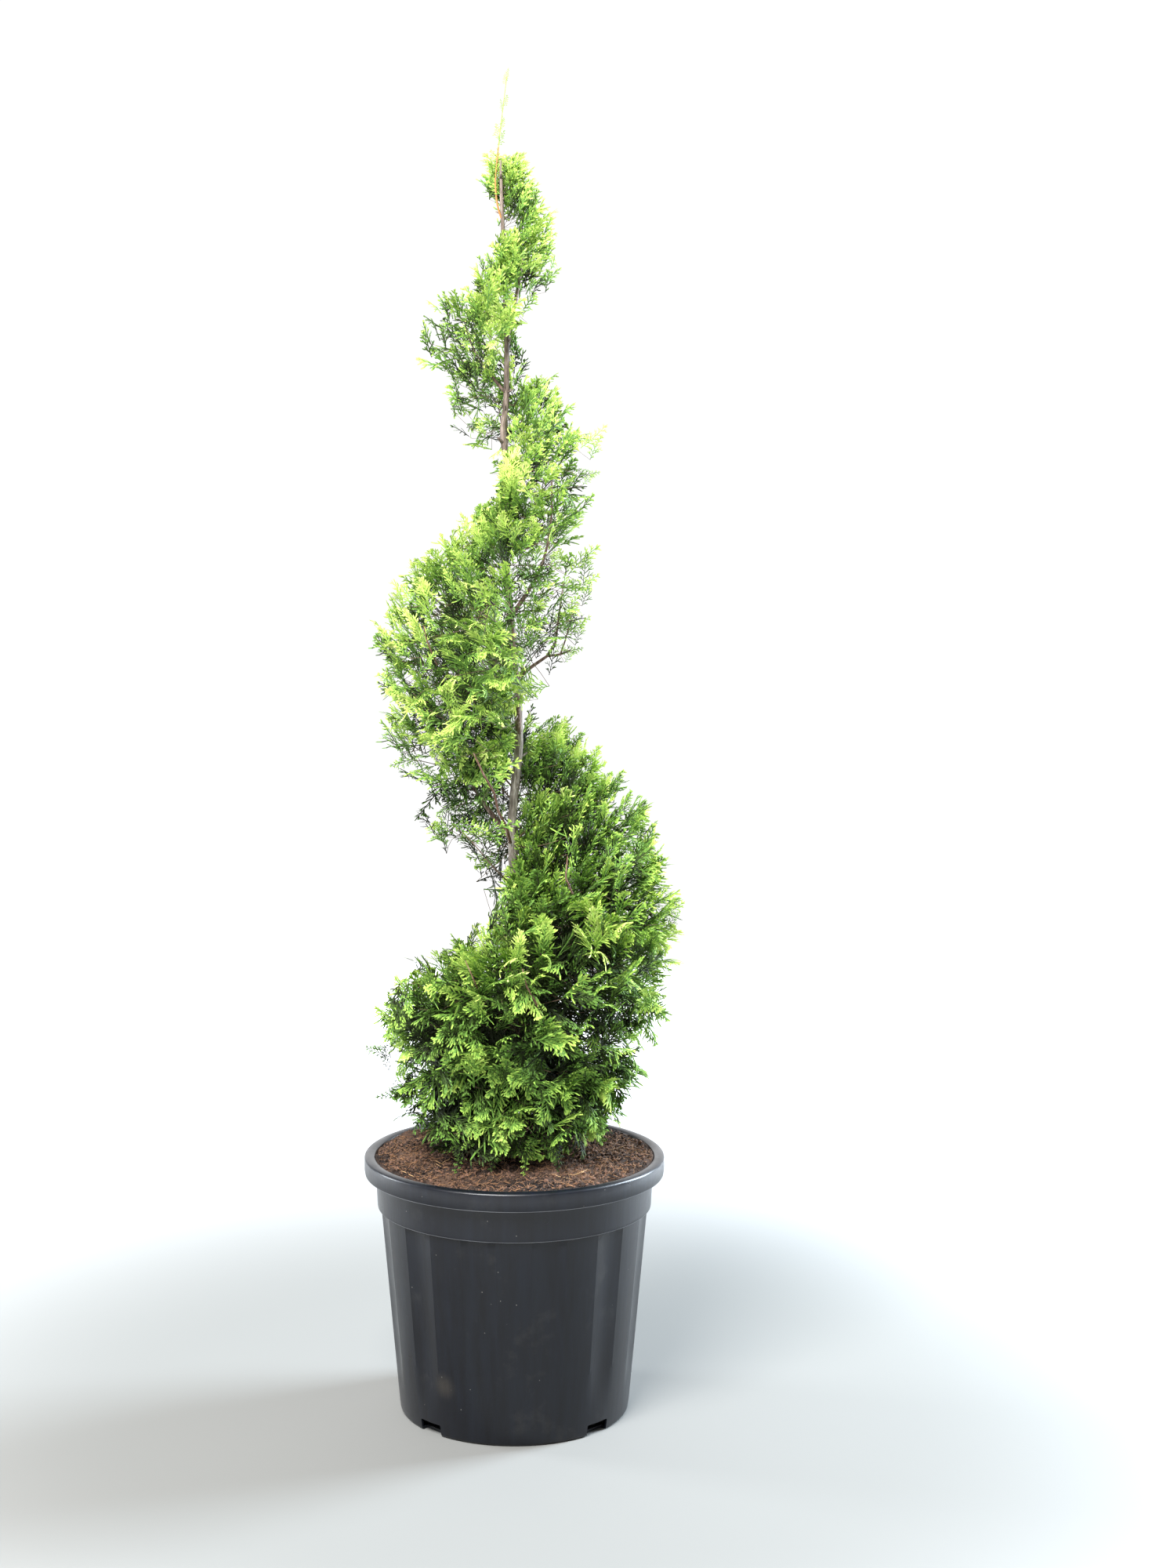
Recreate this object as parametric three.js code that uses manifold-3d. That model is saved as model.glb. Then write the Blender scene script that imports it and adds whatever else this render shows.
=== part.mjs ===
// Spiral topiary: a clipped conifer whose crown winds round its trunk as one helical ledge,
// growing in a round moulded nursery pot filled with peat.
// Millimetres, +Z up. The origin is the centre of the pot's flat underside, on the ground.
// +X is to the viewer's right and -Y is the front.
import * as THREE from 'three';
import { mergeVertices } from 'three/addons/utils/BufferGeometryUtils.js';
import Module from 'manifold-3d';

const wasm = await Module();
wasm.setup();

// ---------------------------------------------------------------- driving dimensions
const GAP = 0.3; // clearance between neighbouring solids
const SLIVER = 0.15; // edges and steps finer than this are merged where pieces are joined

// Pot
const POT_HEIGHT = 306;
const POT_SEGMENTS = 36;
const BASE_RADIUS = 138.5;
const BASE_CORNER = 4; // bevel between the wall and the underside
const WALL_TOP_RADIUS = 162;
const WALL_TOP_HEIGHT = 243;
const BAND_RADIUS = [166.5, 168.5]; // plain collar between the wall and the rim, bottom and top
const BAND_HEIGHT = [246, 284];
const RIM_RADIUS = 182.5;
const RIM_ROLL = 6.5; // radius of the rolled top edge
const SHELL = 3; // wall and floor thickness
const FLUTES = 12;
const FLUTE_DEPTH = 1.6;
const FLUTE_HEIGHT = [52, 226];
const FLUTE_FADE = 12; // run over which the flutes fade out above and below
const NOTCH = { count: 4, width: 33, height: 13.5, depth: 10 }; // drainage notches in the foot

// Peat
const PEAT_EDGE_HEIGHT = 297;
const PEAT_HEIGHT = 309; // level bed round the trunk
const PEAT_BED_RADIUS = 34;
const PEAT_ROUGHNESS = 2.5;

// Trunk: height, x and y of its centre at each bend
const TRUNK_BENDS = [
  [310, -5, 2], [420, -1, 0], [560, -1, -3], [667, -1, 0], [700, -4, 2], [755, 1, 1], [802, 6, -1],
  [880, 4, 0], [970, -6, 2], [1060, -15, 1], [1118, -6, -1], [1150, -10, 0], [1185, -15, 2],
  [1215, -10, 1], [1300, -9, 0], [1390, -12, 1], [1450, -15, 0], [1515, -17, 0],
];
const TRUNK_FOOT = TRUNK_BENDS[0][0];
const TRUNK_TIP = TRUNK_BENDS[TRUNK_BENDS.length - 1][0];
const TRUNK_RADIUS = [10.2, 2.2]; // at the foot, above the flare, and at the tip
const ROOT_FLARE = { swell: 7, fade: 22 };

// Leader: the season's own shoot that stands above the clipped top
const LEADER = {
  route: [[-15, 0, 1442], [-24, -3, 1462], [-25, -2, 1492], [-19, 0, 1535], [-15, 1, 1570], [-10, 1, 1612]],
  radius: [1.6, 0.6],
  sprays: 9,
  clearance: 12, // the crown's foliage keeps this far from it
  sprayLength: [26, 17],
};

// Crown: the radius of the clipped cone at each height, and the helical groove cut into it.
// One turn is 360 degrees clockwise seen from above; turn 0 is at +X.
const CROWN_CONE = [
  [310, 88], [330, 116], [360, 138], [400, 154], [440, 166], [500, 182], [560, 192], [620, 194], [700, 186],
  [780, 172], [880, 168], [940, 164], [1000, 146], [1110, 122], [1200, 118], [1300, 116], [1350, 98],
  [1410, 80], [1490, 50], [1535, 22],
];
const CROWN_LEAN = { share: 0.14, from: [850, 1050], to: [1330, 1420] }; // fuller on its left side
const CROWN_TOP = 1532;
const CROWN_FLOOR = 312.5;
const GROOVE_TURNS = [-0.875, 1.875];
const GROOVE_HEIGHTS = [1560, 1495, 1440, 1318, 1147, 874, 622, 375, 130]; // each half turn from FIRST
const GROOVE_FIRST = -1.5;
const GROOVE_HALF = { crest: 44, main: 100, widens: [0, 0.35], fades: [1.58, 1.875] };
const LEDGE_ROUNDING = { top: 125, under: 150 }; // depth over which the ledge's edges round off
const TRUNK_CLEARANCE = 16; // bare space round the trunk inside the crown
const PROUD = 14; // how far a spray may stand out of the clipped outline
const SPACE_MARGIN = 0.6; // room that foliage leaves at the edge of its mass's space
const GROOVE_MARGIN = 3;
const LIMB_CLEARANCE = 1.5;

// Foliage masses: one for each quarter turn of the ledge, named for its place on the plant
const MASS_TURN = 0.25;
const FIRST_TURN = -1.375;
const LEVELS = ['crest', 'upper', 'lower', 'foot'];
const SIDES = ['back', 'right', 'front', 'left'];
const MASS_COUNT = 13;
const TALL_MASS = { name: 'lower_right', lowerName: 'foot_right', split: 540 };
const CORE_INSET = 34; // how deep the core lies under the crown's face
const SPRAY_AREA = 2600; // face of the crown that each spray covers
const SPRAY_LENGTH = [56, 84];
const FULL_SPRAY_RADIUS = 80; // where the crown is slimmer than this its sprays are smaller
const SPRAY_ATTEMPTS = 18; // tries at a clear place for each spray
const SPRAY_LEAN = 0.75; // how far sprays turn upwards from the crown's face
const SPRAY_WIDTH = 0.92; // of its length
const SPRAY_THICKNESS = 0.06; // of its length, at its middle
const SPRAYS_PER_TWIG = 4;
const TWIG_RADIUS = [2, 1];
const BOUGH_RADIUS = [4.2, 2.4];
const STEM_RADIUS = [2.4, 1.4];
const BOUGH_RISE = 1.25; // rise of a bough for each unit it runs outwards
const SEED = 20;

const FOLIAGE_LOOK = { color: 0x6ba83a, roughness: 0.62, metalness: 0 };
const BARK_LOOK = { color: 0x7d6a5a, roughness: 0.9, metalness: 0 };
const LEADER_LOOK = { color: 0xa9c25a, roughness: 0.6, metalness: 0 };
const POT_LOOK = { color: 0x3b3c3f, roughness: 0.42, metalness: 0 };
const PEAT_LOOK = { color: 0x5a3a28, roughness: 1, metalness: 0 };

const UP = new THREE.Vector3(0, 0, 1);
const vector = (x, y, z) => new THREE.Vector3(x, y, z);
const mix = THREE.MathUtils.lerp;
const { smoothstep } = THREE.MathUtils;

// ---------------------------------------------------------------- solids
// A closed geometry as a manifold solid, its shared corners merged and its faces pointing out.
function solid(geometry) {
  const bare = geometry.clone();
  bare.deleteAttribute('normal');
  bare.deleteAttribute('uv');
  const merged = mergeVertices(bare, 1e-4);
  const corners = merged.index.array;
  const faces = [];
  for (let i = 0; i < corners.length; i += 3) {
    const [a, b, c] = [corners[i], corners[i + 1], corners[i + 2]];
    if (a !== b && b !== c && c !== a) faces.push(a, b, c);
  }
  const build = (triangles) => new wasm.Manifold(new wasm.Mesh({
    numProp: 3,
    vertProperties: new Float32Array(merged.attributes.position.array),
    triVerts: new Uint32Array(triangles),
  }));
  const shape = build(faces);
  return shape.volume() > 0 ? shape : build(faces.reverse());
}

// The largest piece of a solid, its slivers merged: loose scraps go, and a hollow sealed inside is filled.
function wholePiece(shape) {
  const pieces = shape.asOriginal().simplify(SLIVER).decompose();
  return pieces.reduce((best, piece) => (piece.volume() > best.volume() ? piece : best));
}

function mesh(name, shape, look) {
  const { vertProperties, triVerts } = shape.getMesh();
  const geometry = new THREE.BufferGeometry();
  geometry.setAttribute('position', new THREE.BufferAttribute(vertProperties, 3));
  geometry.setIndex(new THREE.BufferAttribute(triVerts, 1));
  geometry.computeVertexNormals();
  const piece = new THREE.Mesh(geometry, new THREE.MeshStandardMaterial(look));
  piece.name = name;
  return piece;
}

// Moves every point of a geometry to where place(point) says.
function reshape(geometry, place) {
  const position = geometry.attributes.position;
  const point = new THREE.Vector3();
  for (let i = 0; i < position.count; i += 1) {
    const moved = place(point.fromBufferAttribute(position, i));
    position.setXYZ(i, moved.x, moved.y, moved.z);
  }
  return geometry;
}

// A tapering limb: a closed cylinder bent along a curve, radiusAt(0..1) thick along it.
function limb(curve, radiusAt, sides, steps) {
  const chord = curve.getPoint(1).sub(curve.getPoint(0)).normalize();
  const side = Math.abs(chord.z) > 0.9 ? vector(1, 0, 0) : UP;
  const across = side.clone().addScaledVector(chord, -side.dot(chord)).normalize();
  return solid(reshape(new THREE.CylinderGeometry(1, 1, 1, sides, steps), (point) => {
    const along = Math.min(Math.max(point.y + 0.5, 0), 1);
    const tangent = curve.getTangent(along);
    const u = across.clone().addScaledVector(tangent, -across.dot(tangent)).normalize();
    const v = new THREE.Vector3().crossVectors(u, tangent);
    const radius = radiusAt(along);
    return curve.getPoint(along).addScaledVector(u, point.x * radius).addScaledVector(v, point.z * radius);
  }));
}

// Repeatable random numbers from 0 to 1 (the mulberry generator).
function seeded(seed) {
  let state = seed >>> 0;
  return () => {
    state = (state + 0x6d2b79f5) >>> 0;
    let mixed = Math.imul(state ^ (state >>> 15), state | 1);
    mixed ^= mixed + Math.imul(mixed ^ (mixed >>> 7), mixed | 61);
    return ((mixed ^ (mixed >>> 14)) >>> 0) / 4294967296;
  };
}

// Value at x on straight lines through rows of [x, value, ...], taking the given column.
function along(rows, x, column = 1) {
  const next = rows.findIndex((row) => row[0] > x);
  const i = next < 0 ? rows.length - 1 : Math.max(next, 1);
  const share = Math.min(Math.max((x - rows[i - 1][0]) / (rows[i][0] - rows[i - 1][0]), 0), 1);
  return mix(rows[i - 1][column], rows[i][column], share);
}

// ---------------------------------------------------------------- pot and peat
// Radius of the pot's inner face at a height.
function potInside(height) {
  const rows = [
    [0, BASE_RADIUS - SHELL],
    [WALL_TOP_HEIGHT, WALL_TOP_RADIUS - SHELL],
    [BAND_HEIGHT[0], BAND_RADIUS[0] - SHELL],
    [BAND_HEIGHT[1], BAND_RADIUS[1] - SHELL],
    [POT_HEIGHT - RIM_ROLL, RIM_RADIUS - 2 * RIM_ROLL],
  ];
  return along(rows, height);
}

// Turned solids stand along Y in LatheGeometry, so they are stood up along Z.
const turned = (profile) => new THREE.LatheGeometry(profile, POT_SEGMENTS).rotateX(Math.PI / 2);

function notchCutter(grow) {
  let cutters = null;
  for (let i = 0; i < NOTCH.count; i += 1) {
    const inner = BASE_RADIUS - NOTCH.depth - grow;
    const length = NOTCH.depth * 2 + grow;
    const box = new THREE.BoxGeometry(length, NOTCH.width + 2 * grow, 2 * (NOTCH.height + grow));
    const turn = ((i + 0.5) * 2 * Math.PI) / NOTCH.count;
    const cutter = solid(box.translate(inner + length / 2, 0, 0).rotateZ(turn));
    cutters = cutters ? cutters.add(cutter) : cutter;
  }
  return cutters;
}

function pot() {
  const profile = new THREE.Path();
  profile.moveTo(0, 0);
  profile.lineTo(BASE_RADIUS - BASE_CORNER, 0);
  profile.lineTo(BASE_RADIUS, BASE_CORNER);
  const wallAt = (height) => mix(BASE_RADIUS, WALL_TOP_RADIUS, height / WALL_TOP_HEIGHT);
  const [fluteLow, fluteHigh] = FLUTE_HEIGHT;
  for (const height of [fluteLow - FLUTE_FADE, fluteLow + 1, fluteHigh - 1, fluteHigh + FLUTE_FADE]) {
    profile.lineTo(wallAt(height), height);
  }
  profile.lineTo(WALL_TOP_RADIUS, WALL_TOP_HEIGHT);
  profile.lineTo(BAND_RADIUS[0], BAND_HEIGHT[0]);
  profile.lineTo(BAND_RADIUS[1], BAND_HEIGHT[1]);
  profile.lineTo(RIM_RADIUS - 3, BAND_HEIGHT[1] + 1);
  profile.lineTo(RIM_RADIUS, BAND_HEIGHT[1] + 5);
  const roll = POT_HEIGHT - RIM_ROLL;
  profile.absarc(RIM_RADIUS - RIM_ROLL, roll, RIM_ROLL, 0, Math.PI, false);
  for (const height of [BAND_HEIGHT[1], BAND_HEIGHT[0], WALL_TOP_HEIGHT, SHELL]) {
    profile.lineTo(potInside(height), height);
  }
  profile.lineTo(0, SHELL);

  // Shallow flutes: the outer face of the wall sinks a little between the flats.
  const fluted = reshape(turned(profile.getPoints(2)), (point) => {
    const radius = Math.hypot(point.x, point.y);
    const height = point.z;
    const onFlute = height > FLUTE_HEIGHT[0] && height < FLUTE_HEIGHT[1] && radius > wallAt(height) - 1;
    if (!onFlute) return point;
    const sink = FLUTE_DEPTH * (0.5 - 0.5 * Math.cos(FLUTES * Math.atan2(point.y, point.x)));
    return vector(point.x * (1 - sink / radius), point.y * (1 - sink / radius), height);
  });
  return solid(fluted).subtract(notchCutter(0));
}

function peat() {
  const edge = potInside(PEAT_EDGE_HEIGHT) - GAP;
  const profile = [
    [0, SHELL + GAP],
    [potInside(SHELL + GAP) - GAP, SHELL + GAP],
    [potInside(WALL_TOP_HEIGHT) - GAP, WALL_TOP_HEIGHT],
    [potInside(BAND_HEIGHT[0]) - GAP, BAND_HEIGHT[0] + GAP],
    [potInside(BAND_HEIGHT[1]) - GAP, BAND_HEIGHT[1] + GAP],
    [edge, PEAT_EDGE_HEIGHT],
    [edge - 30, PEAT_EDGE_HEIGHT + 4],
    [100, PEAT_HEIGHT - 4],
    [PEAT_BED_RADIUS, PEAT_HEIGHT],
    [0, PEAT_HEIGHT],
  ].map(([radius, height]) => new THREE.Vector2(radius, height));
  const uneven = reshape(turned(profile), (point) => {
    const radius = Math.hypot(point.x, point.y);
    if (point.z <= PEAT_EDGE_HEIGHT || radius <= PEAT_BED_RADIUS + 1) return point;
    const angle = Math.atan2(point.y, point.x);
    const lift = PEAT_ROUGHNESS * (Math.sin(5 * angle + radius / 30) + 0.6 * Math.sin(11 * angle + 1));
    return vector(point.x, point.y, point.z + lift);
  });
  return solid(uneven).subtract(notchCutter(GAP));
}

// ---------------------------------------------------------------- trunk
const trunkShare = (height) => Math.min(Math.max((height - TRUNK_FOOT) / (TRUNK_TIP - TRUNK_FOOT), 0), 1);

function trunkRadius(height) {
  const taper = mix(TRUNK_RADIUS[0], TRUNK_RADIUS[1], trunkShare(height));
  return taper + ROOT_FLARE.swell * Math.exp(-(height - TRUNK_FOOT) / ROOT_FLARE.fade);
}

// Centre of the trunk at a height, also the axis that the crown is built round.
function axis(height) {
  return vector(along(TRUNK_BENDS, height, 1), along(TRUNK_BENDS, height, 2), height);
}

// The trunk is cut level at its foot, so its steps follow its height and stay level.
function trunk(grow) {
  const steps = 26;
  return solid(reshape(new THREE.CylinderGeometry(1, 1, 1, 8, steps), (point) => {
    const share = Math.min(Math.max(point.y + 0.5, 0), 1) ** 1.15;
    const height = mix(TRUNK_FOOT, TRUNK_TIP, share);
    const radius = trunkRadius(height) + grow;
    return axis(height).add(vector(point.x * radius, point.z * radius, 0));
  }));
}

// ---------------------------------------------------------------- crown
// Height of the groove's centre at a turn, on a smooth curve through its heights at each half turn.
function grooveHeight(turn) {
  const place = (turn - GROOVE_FIRST) / 0.5;
  const i = Math.min(Math.max(Math.floor(place), 1), GROOVE_HEIGHTS.length - 3);
  const u = place - i;
  const [a, b, c, d] = GROOVE_HEIGHTS.slice(i - 1, i + 3);
  const slope = 0.5 * (c - a);
  const bend = a - 2.5 * b + 2 * c - 0.5 * d;
  const twist = 1.5 * (b - c) + 0.5 * (d - a);
  return b + slope * u + bend * u ** 2 + twist * u ** 3;
}

function grooveHalf(turn) {
  const widening = smoothstep(turn, ...GROOVE_HALF.widens);
  return mix(GROOVE_HALF.crest, GROOVE_HALF.main, widening) * (1 - smoothstep(turn, ...GROOVE_HALF.fades));
}

const hasGroove = (turn) => turn >= GROOVE_TURNS[0] && turn <= GROOVE_TURNS[1];

// Underside and top of the ledge at a turn.
function ledgeFloor(turn) {
  return hasGroove(turn + 1) ? grooveHeight(turn + 1) + grooveHalf(turn + 1) : CROWN_FLOOR;
}

function ledgeTop(turn) {
  return hasGroove(turn) ? grooveHeight(turn) - grooveHalf(turn) : CROWN_TOP;
}

// How far the clipped crown reaches from its axis at a turn and height.
function reach(turn, height, proud = 0) {
  let inward = 0;
  if (hasGroove(turn)) inward = 1 - (ledgeTop(turn) - height + proud) / LEDGE_ROUNDING.top;
  if (hasGroove(turn + 1)) {
    inward = Math.max(inward, 1 - (height - ledgeFloor(turn) + proud) / LEDGE_ROUNDING.under);
  }
  inward = Math.min(Math.max(inward, 0), 1);
  const leaning = smoothstep(height, ...CROWN_LEAN.from) * (1 - smoothstep(height, ...CROWN_LEAN.to));
  const lean = 1 - CROWN_LEAN.share * leaning * Math.cos(2 * Math.PI * turn);
  return (along(CROWN_CONE, height) * lean + proud) * Math.sqrt(1 - inward * inward);
}

const outward = (turn) => vector(Math.cos(-2 * Math.PI * turn), Math.sin(-2 * Math.PI * turn), 0);
const crownPoint = (turn, radius, height) => axis(height).addScaledVector(outward(turn), radius);

// Turn and radius of a point, taking the turn that is nearest to a given one.
function crownPlace(point, nearTurn) {
  const centre = axis(point.z);
  const x = point.x - centre.x;
  const y = point.y - centre.y;
  const turn = -Math.atan2(y, x) / (2 * Math.PI);
  return { turn: turn + Math.round(nearTurn - turn), radius: Math.hypot(x, y) };
}

// ---------------------------------------------------------------- foliage masses
function massList() {
  const masses = [];
  for (let i = 0; i < MASS_COUNT; i += 1) {
    const name = `${LEVELS[Math.floor(i / 4)]}_${SIDES[i % 4]}`;
    const from = FIRST_TURN + i * MASS_TURN;
    const mass = { name, from, to: from + MASS_TURN, low: CROWN_FLOOR, high: CROWN_TOP, seed: SEED + i };
    if (name === TALL_MASS.name) {
      masses.push({ ...mass, low: TALL_MASS.split });
      masses.push({ ...mass, name: TALL_MASS.lowerName, high: TALL_MASS.split, seed: SEED + MASS_COUNT });
    } else {
      masses.push(mass);
    }
  }
  return masses;
}

// Lowest and highest foliage of a mass at a turn.
function span(mass, turn) {
  return [Math.max(mass.low, ledgeFloor(turn)), Math.min(mass.high, ledgeTop(turn))];
}

// Outline of a mass's section at a turn, from its underside out and up to its top, as radius and height.
function sectionOutline(mass, turn) {
  const count = 24;
  const [low, high] = span(mass, turn);
  const outline = [];
  for (let i = 0; i <= count; i += 1) {
    const height = mix(low, high, i / count);
    outline.push(new THREE.Vector2(Math.max(reach(turn, height), trunkRadius(height) + 4), height));
  }
  return outline;
}

// The section's own face at a share of its length: place and outward direction.
function sectionFace(outline, share) {
  const lengths = [0];
  for (let i = 1; i < outline.length; i += 1) {
    lengths.push(lengths[i - 1] + outline[i].distanceTo(outline[i - 1]));
  }
  const wanted = share * lengths[lengths.length - 1];
  const i = Math.max(1, lengths.findIndex((length) => length >= wanted));
  const part = (wanted - lengths[i - 1]) / (lengths[i] - lengths[i - 1]);
  const place = outline[i - 1].clone().lerp(outline[i], part);
  const run = outline[i].clone().sub(outline[i - 1]).normalize();
  return { place, normal: new THREE.Vector2(run.y, -run.x) };
}

// True where a point keeps to its mass's own space, clear of the trunk and of every limb.
function isClear(mass, point, limbs) {
  const { turn, radius } = crownPlace(point, (mass.from + mass.to) / 2);
  const turnMargin = SPACE_MARGIN / (2 * Math.PI * Math.max(radius, 1));
  if (turn < mass.from + turnMargin || turn > mass.to - turnMargin) return false;
  if (point.z < mass.low + SPACE_MARGIN || point.z > mass.high - SPACE_MARGIN) return false;
  if (hasGroove(turn) && point.z > grooveHeight(turn) - GROOVE_MARGIN) return false;
  if (hasGroove(turn + 1) && point.z < grooveHeight(turn + 1) + GROOVE_MARGIN) return false;
  if (radius < trunkRadius(point.z) + 5 || radius > reach(turn, point.z, PROUD)) return false;
  return limbs.every(({ line, thick }) => {
    const near = line.closestPointToPoint(point, true, new THREE.Vector3());
    return near.distanceTo(point) > thick + LIMB_CLEARANCE;
  });
}

// How deep a mass's core lies under its face, underside and top; not drawn in where a tall mass is split.
function coreInset(mass, turn) {
  const [low, high] = span(mass, turn);
  const face = Math.min(CORE_INSET, 0.27 * (high - low));
  const open = { under: hasGroove(turn + 1) ? face : 8, top: face };
  return { face, under: mass.low > CROWN_FLOOR ? 1 : open.under, top: mass.high < CROWN_TOP ? 1 : open.top };
}

// The smaller body inside a clipped mass: its section, drawn in from the crown's face, swept round.
function massCore(mass) {
  const rings = 8;
  const steps = 4;
  const endGap = 3.5;
  const place = (step, corner) => {
    const turnInset = endGap / (2 * Math.PI * 60);
    const turn = mix(mass.from + turnInset, mass.to - turnInset, step / steps);
    const [low, high] = span(mass, turn);
    const inset = coreInset(mass, turn);
    const rim = (share) => {
      const height = mix(low + inset.under, high - inset.top, share);
      return [Math.max(reach(turn, height) - inset.face, 14), height];
    };
    const shares = [0, 0.33, 0.67, 1];
    const [outer, height] = rim(shares[corner < 4 ? corner : 7 - corner]);
    const inner = Math.min(trunkRadius(height) + TRUNK_CLEARANCE, outer - 6);
    return crownPoint(turn, corner < 4 ? outer : Math.max(inner, trunkRadius(height) + 3), height);
  };
  return solid(reshape(new THREE.CylinderGeometry(1, 1, 1, rings, steps), (point) => {
    const step = Math.round((point.y + 0.5) * steps);
    if (Math.hypot(point.x, point.z) < 0.5) {
      const corners = [0, 1, 2, 3, 4, 5, 6, 7].map((corner) => place(step, corner));
      return corners.reduce((sum, corner) => sum.add(corner), new THREE.Vector3()).divideScalar(rings);
    }
    const corner = Math.round((Math.atan2(point.x, point.z) / (2 * Math.PI)) * rings + rings) % rings;
    return place(step, corner);
  }));
}

// A flat spray of scale leaves as a toothed blade: a double pyramid on a lobed outline.
const SPRAY_OUTLINE = [[1, 0], [0.7, 0.15], [0.8, 0.36], [0.44, 0.19], [0.42, 0.5], [0, 0]];
const SPRAY_MIDDLE = 0.4;

function sprayPoints({ root, direction, across, length }) {
  const face = new THREE.Vector3().crossVectors(direction, across);
  const place = (run, side, raise) => root.clone()
    .addScaledVector(direction, run * length)
    .addScaledVector(across, side * length * SPRAY_WIDTH)
    .addScaledVector(face, raise * length);
  const last = SPRAY_OUTLINE.length - 1;
  const count = 2 * last;
  const rim = [];
  for (let i = 0; i < count; i += 1) {
    const [run, side] = SPRAY_OUTLINE[i <= last ? i : count - i];
    rim.push(place(run, i <= last ? side : -side, 0));
  }
  const lift = SPRAY_THICKNESS / 2;
  return { rim, top: place(SPRAY_MIDDLE, 0, lift), bottom: place(SPRAY_MIDDLE, 0, -lift) };
}

function sprayBlade(spray) {
  const { rim, top, bottom } = sprayPoints(spray);
  const count = rim.length;
  return solid(reshape(new THREE.SphereGeometry(1, count, 2), (point) => {
    if (point.y > 0.5) return top;
    if (point.y < -0.5) return bottom;
    const turn = Math.atan2(point.z, -point.x) / (2 * Math.PI);
    return rim[Math.round(turn * count + count) % count];
  }));
}

// Sprays of a mass: each is rooted in the core and reaches the crown's face.
function massSprays(mass, limbs) {
  const random = seeded(mass.seed);
  const middle = (mass.from + mass.to) / 2;
  const outline = sectionOutline(mass, middle);
  const meanRadius = outline.reduce((sum, { x }) => sum + x, 0) / outline.length;
  const length = outline.slice(1).reduce((sum, point, i) => sum + point.distanceTo(outline[i]), 0);
  const slimness = Math.min(Math.max(meanRadius / FULL_SPRAY_RADIUS, 0.55), 1);
  const count = Math.ceil((length * meanRadius * 2 * Math.PI * MASS_TURN) / (SPRAY_AREA * slimness ** 2));
  const sprays = [];
  for (let i = 0; i < count; i += 1) {
    for (let attempt = 0; attempt < SPRAY_ATTEMPTS; attempt += 1) {
      const turn = mix(mass.from, mass.to, 0.04 + 0.92 * ((i * 0.618 + 0.35 * random()) % 1));
      const { place, normal } = sectionFace(sectionOutline(mass, turn), (i + random()) / count);
      const out = outward(turn).multiplyScalar(normal.x).addScaledVector(UP, normal.y);
      const spread = () => random() * 2 - 1;
      const round = new THREE.Vector3().crossVectors(UP, outward(turn));
      const lean = vector(0, 0, SPRAY_LEAN).addScaledVector(round, 0.5 * spread());
      const direction = out.clone().add(lean).normalize();
      const facing = new THREE.Vector3().crossVectors(direction, round).multiplyScalar(0.4 * spread());
      const roll = facing.add(round).cross(direction).cross(direction).normalize();
      const size = mix(...SPRAY_LENGTH, random()) * slimness;
      const tip = crownPoint(turn, place.x, place.y).addScaledVector(out, 10 * random() - 2);
      const spray = { root: tip.addScaledVector(direction, -size), direction, across: roll, length: size };
      const { rim, top, bottom } = sprayPoints(spray);
      if ([...rim, top, bottom].every((point) => isClear(mass, point, limbs))) {
        sprays.push(spray);
        break;
      }
    }
  }
  return sprays;
}

// Where a mass's bough starts on the trunk and ends under or beside its core.
function boughRoute(mass) {
  const turn = (mass.from + mass.to) / 2;
  const [low, high] = span(mass, turn);
  const inset = coreInset(mass, turn);
  const fromBelow = hasGroove(turn + 1) && mass.low < ledgeFloor(turn);
  const endHeight = fromBelow ? low + inset.under - 9 : mix(low, high, 0.4);
  const clear = trunkRadius(endHeight) + TRUNK_CLEARANCE;
  const coreEdge = Math.max(reach(turn, endHeight + 9) - inset.face, clear);
  const endRadius = fromBelow ? mix(clear, coreEdge, 0.45) : clear - 8;
  const end = crownPoint(turn, endRadius, endHeight);
  const start = axis(endHeight - endRadius * BOUGH_RISE);
  const middle = mix(low, high, 0.5);
  const goal = crownPoint(turn, Math.max(endRadius + 14, 0.5 * reach(turn, middle)), middle);
  return { start, end, goal };
}

function boughCurve({ start, end }) {
  const bow = start.clone().lerp(end, 0.5).addScaledVector(UP, -0.06 * start.distanceTo(end));
  return new THREE.QuadraticBezierCurve3(start, bow, end);
}

function bough(route, trunkSpace) {
  const whole = limb(boughCurve(route), (share) => mix(...BOUGH_RADIUS, share), 6, 4);
  return wholePiece(whole.subtract(trunkSpace));
}

function foliage(mass, route, limbs, leaderSpace) {
  const sprays = massSprays(mass, limbs);
  const onward = boughCurve(route).getTangent(1);
  const stemStart = route.end.clone().addScaledVector(onward, GAP);
  const stemBend = stemStart.clone().addScaledVector(onward, 0.4 * stemStart.distanceTo(route.goal));
  const stemCurve = new THREE.QuadraticBezierCurve3(stemStart, stemBend, route.goal);
  const pieces = [massCore(mass), limb(stemCurve, (share) => mix(...STEM_RADIUS, share), 6, 2)];
  for (const [i, spray] of sprays.entries()) {
    pieces.push(sprayBlade(spray));
    if (i % SPRAYS_PER_TWIG > 0) continue;
    const twigEnd = spray.root.clone().addScaledVector(spray.direction, 0.3 * spray.length);
    const twigStart = spray.root.clone().lerp(route.goal, 0.25);
    pieces.push(limb(new THREE.LineCurve3(twigStart, twigEnd), (share) => mix(...TWIG_RADIUS, share), 3, 1));
  }
  const boughSpace = limb(boughCurve(route), (share) => mix(...BOUGH_RADIUS, share) + GAP, 6, 4);
  return wholePiece(wasm.Manifold.union(pieces).subtract(boughSpace.add(leaderSpace)));
}

// ---------------------------------------------------------------- leader
const leaderCurve = new THREE.CatmullRomCurve3(LEADER.route.map((point) => vector(...point)));

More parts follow.
